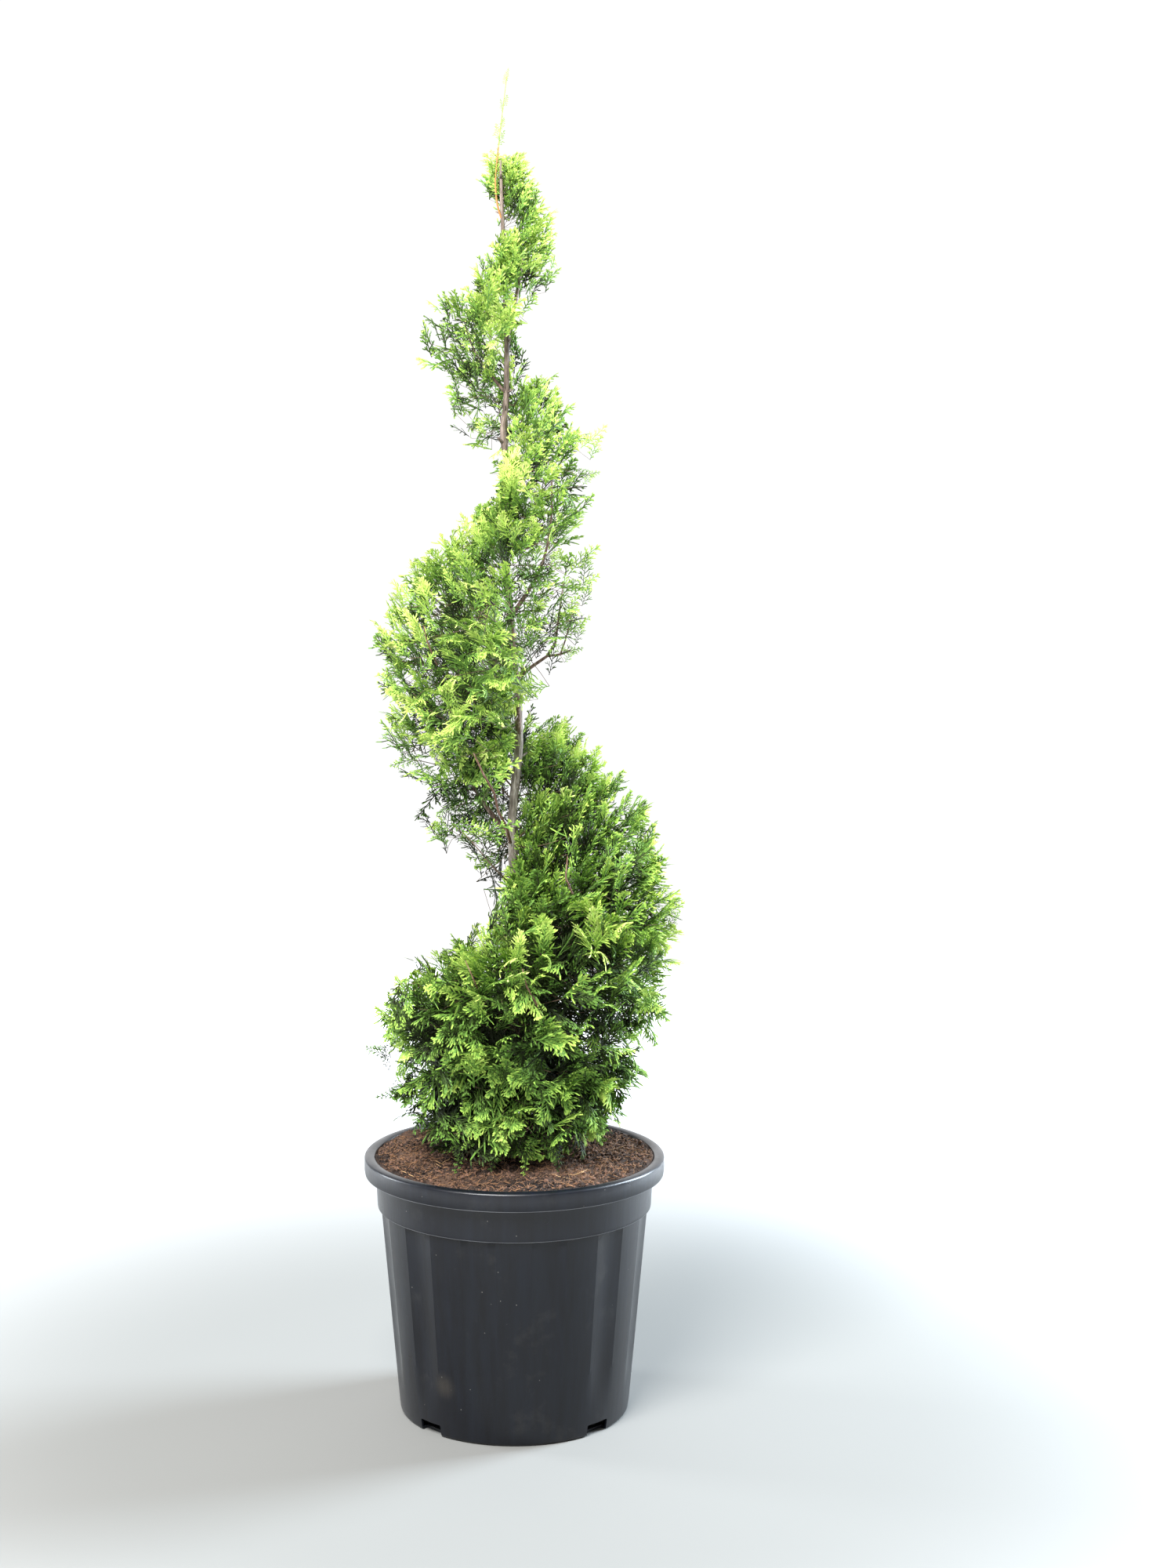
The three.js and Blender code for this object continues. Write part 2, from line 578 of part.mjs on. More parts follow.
function leader(trunkSpace) {
  const random = seeded(SEED - 1);
  const pieces = [limb(leaderCurve, (share) => mix(...LEADER.radius, share), 5, 10)];
  for (let i = 0; i < LEADER.sprays; i += 1) {
    const share = mix(0.4, 0.97, i / (LEADER.sprays - 1));
    const angle = share < 0.6 ? Math.PI + random() - 0.5 : i * 2.4 + random();
    const root = leaderCurve.getPoint(share);
    const steep = leaderCurve.getTangent(share).addScaledVector(UP, 1.6);
    const direction = vector(Math.cos(angle), Math.sin(angle), 0).add(steep).normalize();
    const across = new THREE.Vector3().crossVectors(direction, UP).normalize();
    pieces.push(sprayBlade({ root, direction, across, length: mix(...LEADER.sprayLength, share) }));
  }
  return wholePiece(wasm.Manifold.union(pieces).subtract(trunkSpace));
}

// ---------------------------------------------------------------- the whole plant
const topiary = new THREE.Group();
topiary.add(mesh('pot', pot(), POT_LOOK));
topiary.add(mesh('peat', peat(), PEAT_LOOK));
topiary.add(mesh('trunk', trunk(0), BARK_LOOK));

const trunkSpace = trunk(GAP);
const routes = massList().map((mass) => ({ mass, route: boughRoute(mass) }));
const limbs = routes.map(({ route }) => {
  const line = new THREE.Line3(route.start, route.end);
  return { line, thick: BOUGH_RADIUS[0] };
});
const leaderSpace = limb(leaderCurve, () => LEADER.clearance, 6, 6);
for (const { mass, route } of routes) {
  topiary.add(mesh(`bough_${mass.name}`, bough(route, trunkSpace), BARK_LOOK));
  topiary.add(mesh(`foliage_${mass.name}`, foliage(mass, route, limbs, leaderSpace), FOLIAGE_LOOK));
}
topiary.add(mesh('leader', leader(trunkSpace), LEADER_LOOK));

export default topiary;
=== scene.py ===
import math
import random

import bmesh
import bpy
import numpy as np
from mathutils import Matrix, Vector, noise


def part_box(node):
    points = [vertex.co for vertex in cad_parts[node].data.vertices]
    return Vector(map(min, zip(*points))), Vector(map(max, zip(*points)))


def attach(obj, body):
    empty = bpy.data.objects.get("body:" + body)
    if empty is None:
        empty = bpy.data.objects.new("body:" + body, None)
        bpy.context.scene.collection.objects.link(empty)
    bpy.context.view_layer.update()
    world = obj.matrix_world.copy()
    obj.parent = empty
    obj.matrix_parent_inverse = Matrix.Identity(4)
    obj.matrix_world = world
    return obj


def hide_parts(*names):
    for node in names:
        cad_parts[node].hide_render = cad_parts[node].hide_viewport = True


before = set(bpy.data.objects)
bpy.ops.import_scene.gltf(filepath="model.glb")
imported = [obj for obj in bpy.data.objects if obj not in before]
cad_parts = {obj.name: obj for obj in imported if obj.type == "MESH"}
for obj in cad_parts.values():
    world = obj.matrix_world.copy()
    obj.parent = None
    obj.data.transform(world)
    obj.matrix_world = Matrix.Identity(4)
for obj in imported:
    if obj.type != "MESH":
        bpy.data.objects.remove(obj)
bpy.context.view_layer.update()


# ---------------------------------------------------------------- pot
# A round nursery pot of about 22 litres, injection moulded in black recycled polypropylene. Its wall
# tapers, with twelve shallow flutes under a plain collar, its rim is rolled outwards, and four drainage
# notches are cut into its foot. It stands on its flat underside and carries everything else.
MM = 0.001
POT_STEPS = 192  # faces round the pot, sixteen to each flute
POT_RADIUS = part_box("pot")[1].x
POT_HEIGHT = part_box("pot")[1].z
FOOT_RADIUS = POT_RADIUS - 44 * MM
FOOT_CORNER = 3.5 * MM
CORNER_STEPS = 4
WALL_TOP = (POT_RADIUS - 20.5 * MM, 243 * MM)  # radius and height
WALL_ROWS = 34
COLLAR = [(POT_RADIUS - 16 * MM, 246 * MM), (POT_RADIUS - 14 * MM, 283 * MM)]
COLLAR_LIP = [(-1.4 * MM, -2.2 * MM), (-0.3 * MM, -1.4 * MM), (0, 0), (0.1 * MM, 2 * MM)]  # from its low edge
RIM_STEP = [(-2.2 * MM, 0.6 * MM), (-0.9 * MM, 0.9 * MM), (-0.7 * MM, 2 * MM), (0, 6 * MM)]  # over the collar
RIM_ROLL = 6.5 * MM
RIM_CROWN = 3.6 * MM  # the rolled rim is flatter than it is wide
RIM_STEPS = 12
SHELL = 3 * MM
POT_CREASE = 38  # degrees between faces past which their edge is crisp
FLUTES = 12
FLUTE_DEPTH = 3.0 * MM
FLUTE_ANGLE = 15  # degrees that a flute takes of the wall; the rest of its twelfth is a flat
FLUTE_FADE = (15 * MM, 85 * MM)  # heights over which the flutes sink in above the plain foot
FLUTE_CRISP = 70 * MM  # height above which their upright edges are crisp
NOTCH = {"count": 4, "width": 33 * MM, "height": 13.5 * MM, "depth": 10 * MM, "corner": 1.5 * MM}
# Width of the skin's flow streaks, clouds of dust and grain, spacing of its specks, width of its worn edges.
SKIN = {"streak": 9 * MM, "cloud": 46 * MM, "grain": 1.1 * MM, "speck": 17 * MM, "worn": 0.6 * MM}
SMUDGE = {"place": (-0.087, -0.127, 0.062), "run": 22 * MM}  # a splash of dried mud, low on the wall


def linear(hex_colour):
    """An sRGB hex colour as linear red, green, blue and alpha."""
    parts = [int(hex_colour[i:i + 2], 16) / 255 for i in (1, 3, 5)]
    return [c / 12.92 if c <= 0.04045 else ((c + 0.055) / 1.055) ** 2.4 for c in parts] + [1.0]


def add_node(tree, kind, settings=None, links=None):
    """Adds a node. Settings are its properties or its inputs' values, links join outputs to its inputs."""
    node = tree.nodes.new(kind)
    for name, value in (settings or {}).items():
        if isinstance(name, str) and hasattr(node, name):
            setattr(node, name, value)
        else:
            node.inputs[name].default_value = value
    for name, source in (links or {}).items():
        tree.links.new(source, node.inputs[name])
    return node


def new_material(name, **settings):
    """A material of one Principled shader, whose inputs take the settings."""
    material = bpy.data.materials.new(name)
    material.use_nodes = True
    tree = material.node_tree
    tree.nodes.clear()
    shader = add_node(tree, "ShaderNodeBsdfPrincipled", settings)
    add_node(tree, "ShaderNodeOutputMaterial", links={"Surface": shader.outputs["BSDF"]})
    return material, tree, shader


def plain_material(name, colour, roughness, **settings):
    """A material that has one colour all over."""
    return new_material(name, **{"Base Color": linear(colour), "Roughness": roughness, **settings})[0]


def ramp(tree, factor, stops):
    """A colour ramp through stops of place and hex colour, read at a factor."""
    node = add_node(tree, "ShaderNodeValToRGB", links={"Fac": factor})
    for i, (place, colour) in enumerate(stops):
        element = node.color_ramp.elements[i] if i < 2 else node.color_ramp.elements.new(place)
        element.position = place
        element.color = linear(colour)
    return node.outputs["Color"]


def new_piece(name, shape, material, crease=None):
    """A mesh object of a bmesh, smooth except where its faces meet at more than the crease angle."""
    mesh = bpy.data.meshes.new(name)
    shape.to_mesh(mesh)
    shape.free()
    mesh.materials.append(material)
    mesh.shade_smooth()
    if crease is not None:
        mesh.set_sharp_from_angle(angle=math.radians(crease))
    piece = bpy.data.objects.new(name, mesh)
    bpy.context.collection.objects.link(piece)
    return piece


def mix(a, b, share):
    return a + (b - a) * share


def smoothstep(x, low, high):
    """Rises smoothly from 0 at low to 1 at high. Low may be the greater of the two."""
    share = min(max((x - low) / (high - low), 0), 1)
    return share * share * (3 - 2 * share)


def turned(profile, steps):
    """A closed bmesh turned about Z from a profile of radius and height that starts and ends on the axis."""
    shape = bmesh.new()
    corners = [shape.verts.new((radius, 0, height)) for radius, height in profile]
    edges = [shape.edges.new(pair) for pair in zip(corners, corners[1:])]
    bmesh.ops.spin(shape, geom=corners + edges, cent=(0, 0, 0), axis=(0, 0, 1), angle=2 * math.pi,
                   steps=steps, use_merge=True)
    bmesh.ops.remove_doubles(shape, verts=shape.verts, dist=0.01 * MM)
    bmesh.ops.recalc_face_normals(shape, faces=shape.faces)
    return shape


def along(rows, x, column=1):
    """The value at x on straight lines through rows of x and values."""
    i = next((i for i, row in enumerate(rows) if row[0] > x), len(rows) - 1)
    i = max(i, 1)
    share = min(max((x - rows[i - 1][0]) / (rows[i][0] - rows[i - 1][0]), 0), 1)
    return mix(rows[i - 1][column], rows[i][column], share)


def pot_inside(height):
    """Radius of the pot's inner face at a height."""
    rows = [(0, FOOT_RADIUS - SHELL), (WALL_TOP[1], WALL_TOP[0] - SHELL),
            (COLLAR[0][1], COLLAR[0][0] - SHELL), (COLLAR[1][1], COLLAR[1][0] - SHELL),
            (POT_HEIGHT - RIM_CROWN, POT_RADIUS - 2 * RIM_ROLL)]
    return along(rows, height)


def pot_profile():
    """The pot's section, from the middle of its underside up the wall, over the rim and down its inside."""
    rows = [(0, 0), (FOOT_RADIUS - FOOT_CORNER - 2 * MM, 0)]
    for i in range(CORNER_STEPS + 1):
        angle = math.pi / 2 / CORNER_STEPS * i
        rows.append((FOOT_RADIUS - FOOT_CORNER * (1 - math.sin(angle)), FOOT_CORNER * (1 - math.cos(angle))))
    for i in range(1, WALL_ROWS + 1):
        height = mix(FOOT_CORNER, WALL_TOP[1] - 1 * MM, i / WALL_ROWS)
        rows.append((mix(FOOT_RADIUS, WALL_TOP[0], height / WALL_TOP[1]), height))
    (low_radius, low), (high_radius, high) = COLLAR
    rows += [WALL_TOP] + [(low_radius + out, low + up) for out, up in COLLAR_LIP]
    rows += [(high_radius, high)] + [(POT_RADIUS + out, high + up) for out, up in RIM_STEP]
    for i in range(RIM_STEPS + 1):
        angle = math.pi / RIM_STEPS * i
        rows.append((POT_RADIUS - RIM_ROLL * (1 - math.cos(angle)),
                     POT_HEIGHT - RIM_CROWN * (1 - math.sin(angle))))
    for height in (high, low, WALL_TOP[1], SHELL):
        rows.append((pot_inside(height), height))
    return rows + [(0, SHELL)]


def flute_wall(shape):
    """Sinks the outer wall between the flats, ending crisply under the collar and slowly at the foot."""
    for corner in shape.verts:
        x, y, height = corner.co
        radius = math.hypot(x, y)
        wall = mix(FOOT_RADIUS, WALL_TOP[0], height / WALL_TOP[1])
        if height < FOOT_CORNER or height > WALL_TOP[1] - 0.5 * MM or radius < wall - 1 * MM:
            continue
        off = math.degrees(math.atan2(y, x)) % (360 / FLUTES) - 180 / FLUTES
        wave = max(math.cos(math.pi * off / FLUTE_ANGLE), 0) if abs(off) < FLUTE_ANGLE / 2 else 0
        sink = FLUTE_DEPTH * wave * smoothstep(height, *FLUTE_FADE)
        corner.co.x -= sink * x / radius
        corner.co.y -= sink * y / radius


def cut_notches(piece):
    """Cuts the drainage notches through the foot's outer edge."""
    cutter = bmesh.new()
    for i in range(NOTCH["count"]):
        turn = Matrix.Rotation((i + 0.5) * 2 * math.pi / NOTCH["count"], 4, "Z")
        size = Matrix.Diagonal((2 * NOTCH["depth"], NOTCH["width"], 2 * NOTCH["height"], 1))
        bmesh.ops.create_cube(cutter, size=1, matrix=turn @ Matrix.Translation((FOOT_RADIUS, 0, 0)) @ size)
    bmesh.ops.bevel(cutter, geom=cutter.edges, offset=NOTCH["corner"], segments=2, profile=0.5,
                    affect="EDGES", material=-1)
    tool = new_piece("notch_cutter", cutter, piece.data.materials[0])
    cut = piece.modifiers.new("notches", "BOOLEAN")
    cut.operation = "DIFFERENCE"
    cut.object = tool
    bpy.context.view_layer.update()
    done = piece.evaluated_get(bpy.context.evaluated_depsgraph_get())
    mesh = bpy.data.meshes.new_from_object(done)
    piece.modifiers.clear()
    piece.data = mesh
    bpy.data.objects.remove(tool)
    mesh.shade_smooth()
    mesh.set_sharp_from_angle(angle=math.radians(POT_CREASE))


def sharpen_flutes(mesh):
    """Marks the flutes' upright edges as sharp, as the mould's own edges are."""
    for edge in mesh.edges:
        ends = [mesh.vertices[i].co for i in edge.vertices]
        angles = [math.degrees(math.atan2(end.y, end.x)) % (360 / FLUTES) - 180 / FLUTES for end in ends]
        on_edge = all(abs(abs(angle) - FLUTE_ANGLE / 2) < 0.1 for angle in angles)
        upright = abs(angles[0] - angles[1]) < 0.1 and abs(ends[0].z - ends[1].z) > 1 * MM
        on_wall = min(end.z for end in ends) > FLUTE_CRISP and ends[0].z < WALL_TOP[1]
        if on_edge and upright and on_wall:
            edge.use_edge_sharp = True


def moulded_polypropylene():
    """Black recycled polypropylene, injection moulded: a satin skin with faint flow streaks down the wall,
    a little dust, pale specks, a dried smudge and edges rubbed grey, so the eye reads a used plastic pot."""
    material, tree, shader = new_material("moulded_black_polypropylene", Metallic=0, IOR=1.47)
    place = add_node(tree, "ShaderNodeTexCoord").outputs["Object"]
    tall = add_node(tree, "ShaderNodeMapping", {"Scale": (1, 1, 0.07)}, {"Vector": place})
    streaks = add_node(tree, "ShaderNodeTexNoise",
                       {"Scale": 1 / SKIN["streak"], "Detail": 4, "Roughness": 0.6},
                       {"Vector": tall.outputs[0]})
    cloudy = add_node(tree, "ShaderNodeTexNoise",
                      {"Scale": 1 / SKIN["cloud"], "Detail": 5, "Roughness": 0.62}, {"Vector": place})
    grain = add_node(tree, "ShaderNodeTexNoise", {"Scale": 1 / SKIN["grain"], "Detail": 2}, {"Vector": place})
    specks = add_node(tree, "ShaderNodeTexVoronoi", {"Scale": 1 / SKIN["speck"], "Randomness": 1.0},
                      {"Vector": place})
    speck_mask = add_node(tree, "ShaderNodeMapRange", {"From Min": 0.045, "From Max": 0.02, "To Max": 0.45},
                          {"Value": specks.outputs["Distance"]})
    dust_mask = add_node(tree, "ShaderNodeMapRange", {"From Min": 0.58, "From Max": 0.8, "To Max": 0.15},
                         {"Value": cloudy.outputs["Fac"]})
    smudge_run = add_node(tree, "ShaderNodeVectorMath", {"operation": "DISTANCE", 1: SMUDGE["place"]},
                          {0: place})
    smudge_fade = add_node(tree, "ShaderNodeMapRange",
                           {"interpolation_type": "SMOOTHSTEP", "From Min": SMUDGE["run"],
                            "From Max": 2 * MM}, {"Value": smudge_run.outputs["Value"]})
    smudge_mask = add_node(tree, "ShaderNodeMath", {"operation": "MULTIPLY"},
                           {0: smudge_fade.outputs[0], 1: streaks.outputs["Fac"]})
    plastic = ramp(tree, streaks.outputs["Fac"], [(0.3, "#08090f"), (0.72, "#0f131c")])
    dusty = add_node(tree, "ShaderNodeMixRGB", {"Color2": linear("#5d5a54")},
                     {"Fac": dust_mask.outputs[0], "Color1": plastic})
    smudged = add_node(tree, "ShaderNodeMixRGB", {"Color2": linear("#49433a")},
                       {"Fac": smudge_mask.outputs[0], "Color1": dusty.outputs[0]})
    specked = add_node(tree, "ShaderNodeMixRGB", {"Color2": linear("#a5a29b")},
                       {"Fac": speck_mask.outputs[0], "Color1": smudged.outputs[0]})
    height = add_node(tree, "ShaderNodeSeparateXYZ", links={0: place}).outputs["Z"]
    lines = [add_node(tree, "ShaderNodeMath", {"operation": "COMPARE", 1: line, 2: SKIN["worn"]}, {0: height})
             for line in (COLLAR[0][1] - 1.6 * MM, COLLAR[1][1] + 0.9 * MM)]
    edges = add_node(tree, "ShaderNodeMath", {"operation": "ADD"},
                     {0: lines[0].outputs[0], 1: lines[1].outputs[0]})
    worn_mask = add_node(tree, "ShaderNodeMath", {"operation": "MULTIPLY"},
                         {0: edges.outputs[0], 1: cloudy.outputs["Fac"]})
    worn = add_node(tree, "ShaderNodeMixRGB", {"Color2": linear("#7f8185")},
                    {"Fac": worn_mask.outputs[0], "Color1": specked.outputs[0]})
    gloss = add_node(tree, "ShaderNodeMapRange",
                     {"From Min": 0.3, "From Max": 0.75, "To Min": 0.27, "To Max": 0.4},
                     {"Value": cloudy.outputs["Fac"]})
    skin = add_node(tree, "ShaderNodeBump", {"Strength": 0.12, "Distance": 0.3 * MM},
                    {"Height": grain.outputs["Fac"]})
    waves = add_node(tree, "ShaderNodeBump", {"Strength": 0.25, "Distance": 0.6 * MM},
                     {"Height": streaks.outputs["Fac"], "Normal": skin.outputs[0]})
    tree.links.new(worn.outputs[0], shader.inputs["Base Color"])
    tree.links.new(gloss.outputs[0], shader.inputs["Roughness"])
    tree.links.new(waves.outputs[0], shader.inputs["Normal"])
    return material


pot_shape = turned(pot_profile(), POT_STEPS)
flute_wall(pot_shape)
pot = new_piece("pot_shell", pot_shape, moulded_polypropylene(), crease=POT_CREASE)
cut_notches(pot)
sharpen_flutes(pot.data)
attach(pot, "root")
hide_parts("pot")


# ---------------------------------------------------------------- peat
# The pot is filled with brown sphagnum peat, coarse and a little heaped round the trunk: a rough bed of
# crumbs with root fibres and bits of straw lying on it, all loose.
PEAT_EDGE = 303 * MM
PEAT_TOP = 314 * MM
PEAT_SLOPE = 90 * MM  # how far in from the pot's wall the peat goes on rising
PEAT_RELIEF = 6.5 * MM
PEAT_SWELL = 42 * MM
PEAT_LUMP = 11 * MM
PEAT_RINGS = 74
PEAT_STEPS = 220
PEAT_UNDER = COLLAR[1][1] - 20 * MM  # height of the bed's underside, out of sight in the pot
CRUMBS = 5400
CRUMB_SIZE = (1.4 * MM, 5.6 * MM)
CRUMB_SHAPES = 9
STRANDS = [  # piece, material, colour, roughness, count, length, radius and how far an end may stick up
    ("peat_fibres", "dry_root_fibre", "#8a6547", 0.85, 2600, (3 * MM, 11 * MM), (0.2 * MM, 0.5 * MM), 3 * MM),
    ("peat_straw", "bleached_straw", "#c09a6c", 0.8, 40, (8 * MM, 24 * MM), (0.3 * MM, 0.6 * MM), 8 * MM),
]
PEAT_SEED = 5


def peat_height(x, y):
    """Height of the peat's surface: higher in the middle, with hollows and lumps."""
    radius = math.hypot(x, y)
    rise = smoothstep(pot_inside(PEAT_EDGE) - radius, 0, PEAT_SLOPE)
    broad = noise.noise(Vector((x, y, 0.0)) / PEAT_SWELL)
    lumps = noise.fractal(Vector((x, y, 0.07)) / PEAT_LUMP, 0.9, 2.2, 4)
    return mix(PEAT_EDGE, PEAT_TOP - 4 * MM, rise) + PEAT_RELIEF * (0.5 * broad + 0.42 * lumps)


def peat_bed():
    """A round bed that fills the pot from wall to wall, with its surface worked into hollows and lumps."""
    edge = pot_inside(PEAT_EDGE) - 0.2 * MM
    profile = [(0, PEAT_TOP)] + [(edge * i / PEAT_RINGS, PEAT_TOP) for i in range(1, PEAT_RINGS + 1)]
    profile += [(edge - 3 * MM, PEAT_UNDER), (0, PEAT_UNDER)]
    shape = turned(profile, PEAT_STEPS)
    for corner in shape.verts:
        if corner.co.z > PEAT_EDGE:
            corner.co.z = peat_height(corner.co.x, corner.co.y)
    return shape


def triangle_arrays(shape):
    """A bmesh's corners and triangles as arrays; the bmesh is freed."""
    bmesh.ops.triangulate(shape, faces=shape.faces)
    shape.verts.ensure_lookup_table()
    corners = np.array([corner.co[:] for corner in shape.verts])
    faces = np.array([[corner.index for corner in face.verts] for face in shape.faces])
    shape.free()
    return corners, faces


def joined(name, parts, material, smooth=True):
    """One mesh object of many small parts, each given as arrays of corners and triangles."""
    counts = [len(corners) for corners, _ in parts]
    starts = np.cumsum([0] + counts[:-1])
    corners = np.concatenate([part[0] for part in parts]).astype(np.float32)
    faces = np.concatenate([faces + start for (_, faces), start in zip(parts, starts)]).astype(np.int32)
    mesh = bpy.data.meshes.new(name)
    mesh.vertices.add(len(corners))
    mesh.vertices.foreach_set("co", corners.ravel())
    mesh.loops.add(faces.size)
    mesh.loops.foreach_set("vertex_index", faces.ravel())
    mesh.polygons.add(len(faces))
    mesh.polygons.foreach_set("loop_start", np.arange(0, faces.size, 3, dtype=np.int32))
    mesh.update(calc_edges=True)
    mesh.polygons.foreach_set("use_smooth", np.full(len(faces), smooth))
    mesh.materials.append(material)
    piece = bpy.data.objects.new(name, mesh)
    bpy.context.collection.objects.link(piece)
    return piece


def limb(points, radii, sides, relief=0.0, draw=None):
    """A closed tapering tube along points, as arrays. Relief roughens its skin by that share of its
    radius."""
    points = np.asarray(points, float)
    radii = np.asarray(radii, float)
    tangents = np.gradient(points, axis=0)
    tangents /= np.linalg.norm(tangents, axis=1, keepdims=True) + 1e-12
    chord = points[-1] - points[0]
    side = np.array([1.0, 0, 0]) if abs(chord[2]) > 0.8 * np.linalg.norm(chord) else np.array([0, 0, 1.0])
    u = side - tangents * (tangents @ side)[:, None]
    u /= np.linalg.norm(u, axis=1, keepdims=True) + 1e-12
    v = np.cross(tangents, u)
    angles = np.arange(sides) * 2 * math.pi / sides
    rings = np.cos(angles)[None, :, None] * u[:, None, :] + np.sin(angles)[None, :, None] * v[:, None, :]
    skin = np.ones((len(points), sides))
    if relief:
        rough = np.array([[draw.random() for _ in range(sides)] for _ in range(len(points))])
        skin += relief * (0.65 * rough + 0.35 * np.roll(rough, 1, axis=0) - 0.5)
    corners = points[:, None, :] + rings * (radii[:, None] * skin)[:, :, None]
    corners = np.concatenate([corners.reshape(-1, 3), points[:1], points[-1:]])
    faces = []
    start, end = len(corners) - 2, len(corners) - 1
    last = (len(points) - 1) * sides
    for j in range(sides):
        k = (j + 1) % sides
        faces += [(start, k, j), (end, last + j, last + k)]
        for i in range(len(points) - 1):
            a, b = i * sides + j, i * sides + k
            faces += [(a, b, b + sides), (a, b + sides, a + sides)]
    return corners, np.array(faces)


def peat_crumbs(draw, count):
    """Loose crumbs: squashed lumps of twenty faces, most of them fine."""
    lumps = []
    for _ in range(CRUMB_SHAPES):
        shape = bmesh.new()
        bmesh.ops.create_icosphere(shape, subdivisions=1, radius=0.5)
        for corner in shape.verts:
            corner.co *= draw.uniform(0.6, 1.25)
        lumps.append(triangle_arrays(shape))
    parts = []
    edge = pot_inside(PEAT_EDGE)
    for _ in range(count):
        size = mix(*CRUMB_SIZE, draw.random() ** 3.2)
        radius = (edge - size * 0.6) * math.sqrt(draw.random())
        angle = draw.uniform(0, 2 * math.pi)
        x, y = radius * math.cos(angle), radius * math.sin(angle)
        corners, faces = draw.choice(lumps)
        angle = draw.uniform(0, 6.3)
        turn = Matrix.Rotation(angle, 3, (draw.gauss(0, 1), draw.gauss(0, 1), draw.gauss(0, 1)))
        shape = Matrix.Diagonal((size, size * draw.uniform(0.55, 1), size * draw.uniform(0.5, 0.9)))
        centre = (x, y, peat_height(x, y) + 0.22 * size)
        parts.append((corners @ np.array(shape @ turn) + centre, faces))
    return parts


def peat_strands(draw, count, length, thickness, lift):
    """Root fibres and straw: thin curved strands lying on the crumbs, some with an end sticking up."""
    parts = []
    edge = pot_inside(PEAT_EDGE) - 4 * MM
    while len(parts) < count:
        radius = edge * math.sqrt(draw.random())
        angle = draw.uniform(0, 2 * math.pi)
        heading = draw.uniform(0, 2 * math.pi)
        bend = draw.gauss(0, 0.25)
        step = draw.uniform(*length) / 3
        x, y = radius * math.cos(angle), radius * math.sin(angle)
        rise = draw.uniform(0, lift)
        points = []
        for i in range(4):
            points.append((x, y, peat_height(x, y) + 0.8 * MM + rise * (i / 3) ** 2))
            x += step * math.cos(heading)
            y += step * math.sin(heading)
            heading += bend
        if math.hypot(x, y) < edge:
            thick = draw.uniform(*thickness)
            parts.append(limb(points, [thick, thick, thick * 0.9, thick * 0.5], 3))
    return parts


def fibrous_peat(name, dark, middle, pale):
    """Sphagnum peat, milled and damp: matt, with red-brown and dark crumbs mixed at a few millimetres, the
    dark partly painted shade where the bump sinks in.
    """
    material, tree, shader = new_material(name, Roughness=0.95, Metallic=0, IOR=1.45)
    place = add_node(tree, "ShaderNodeTexCoord").outputs["Object"]
    crumbs = add_node(tree, "ShaderNodeTexNoise", {"Scale": 1 / (5 * MM), "Detail": 6, "Roughness": 0.7},
                      {"Vector": place})
    patches = add_node(tree, "ShaderNodeTexNoise", {"Scale": 1 / (60 * MM), "Detail": 2}, {"Vector": place})
    both = add_node(tree, "ShaderNodeMath", {"operation": "ADD"},
                    {0: crumbs.outputs["Fac"], 1: patches.outputs["Fac"]})
    half = add_node(tree, "ShaderNodeMath", {"operation": "MULTIPLY", 1: 0.5}, {0: both.outputs[0]})
    # Its darkest colour falls where the bump below sinks in: partly dark crumbs, partly painted shade in the
    # hollows.
    colour = ramp(tree, half.outputs[0], [(0.38, dark), (0.5, middle), (0.64, pale)])
    rough = add_node(tree, "ShaderNodeBump", {"Strength": 0.8, "Distance": 1.2 * MM},
                     {"Height": crumbs.outputs["Fac"]})
    tree.links.new(colour, shader.inputs["Base Color"])
    tree.links.new(rough.outputs[0], shader.inputs["Normal"])
    return material


peat_draw = random.Random(PEAT_SEED)
# The near-black first colour is partly painted shade in the peat's hollows.
milled_peat = fibrous_peat("milled_sphagnum_peat", "#100b08", "#3c2b21", "#6d5342")
peat = new_piece("peat_bed", peat_bed(), milled_peat, crease=60)
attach(peat, "root")
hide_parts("peat")

crumbs = joined("peat_crumbs", peat_crumbs(peat_draw, CRUMBS), milled_peat, smooth=False)
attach(crumbs, "root")

# Crumbs that lie on top dry out first: matt and paler, they pick out the relief of the damp bed.
dry_peat = plain_material("dry_peat_crumb", "#6e5141", 0.95)
dry_crumbs = joined("dry_peat_crumbs", peat_crumbs(peat_draw, CRUMBS // 2), dry_peat, smooth=False)
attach(dry_crumbs, "root")

# Dry root fibres are a dull tan, and bleached straw is paler and a little glossier, so both stand out.
for name, material_name, colour, roughness, count, length, thickness, lift in STRANDS:
    strand = plain_material(material_name, colour, roughness)
    strands = joined(name, peat_strands(peat_draw, count, length, thickness, lift), strand)
    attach(strands, "root")


# ---------------------------------------------------------------- trunk
# The stem of the conifer, one to two centimetres thick, wandering a little from side to side up to a cut
# tip. Its grey-brown bark is stringy, with long ridges and splits, and short stubs are left where twigs
# were pruned from the bare stretches.
TRUNK_BENDS = [  # height, x and y of its centre
    (0.310, -0.005, 0.002), (0.420, -0.001, 0), (0.560, -0.001, -0.003), (0.667, -0.001, 0),
    (0.700, -0.004, 0.002), (0.755, 0.001, 0.001), (0.802, 0.006, -0.001), (0.880, 0.004, 0),
    (0.970, -0.006, 0.002), (1.060, -0.015, 0.001), (1.118, -0.006, -0.001), (1.150, -0.010, 0),
    (1.185, -0.015, 0.002), (1.215, -0.010, 0.001), (1.300, -0.009, 0), (1.390, -0.012, 0.001),
    (1.450, -0.015, 0), (1.515, -0.017, 0),
]
TRUNK_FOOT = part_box("trunk")[0].z
TRUNK_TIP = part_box("trunk")[1].z
TRUNK_RADIUS = (10.2 * MM, 2.2 * MM)
TRUNK_SLIM = {"share": (0.72, 0.86), "heights": (0.85, 1.1)}  # it is slimmer than the rule, most low down
TRUNK_ROWS = 460
TRUNK_SIDES = 36
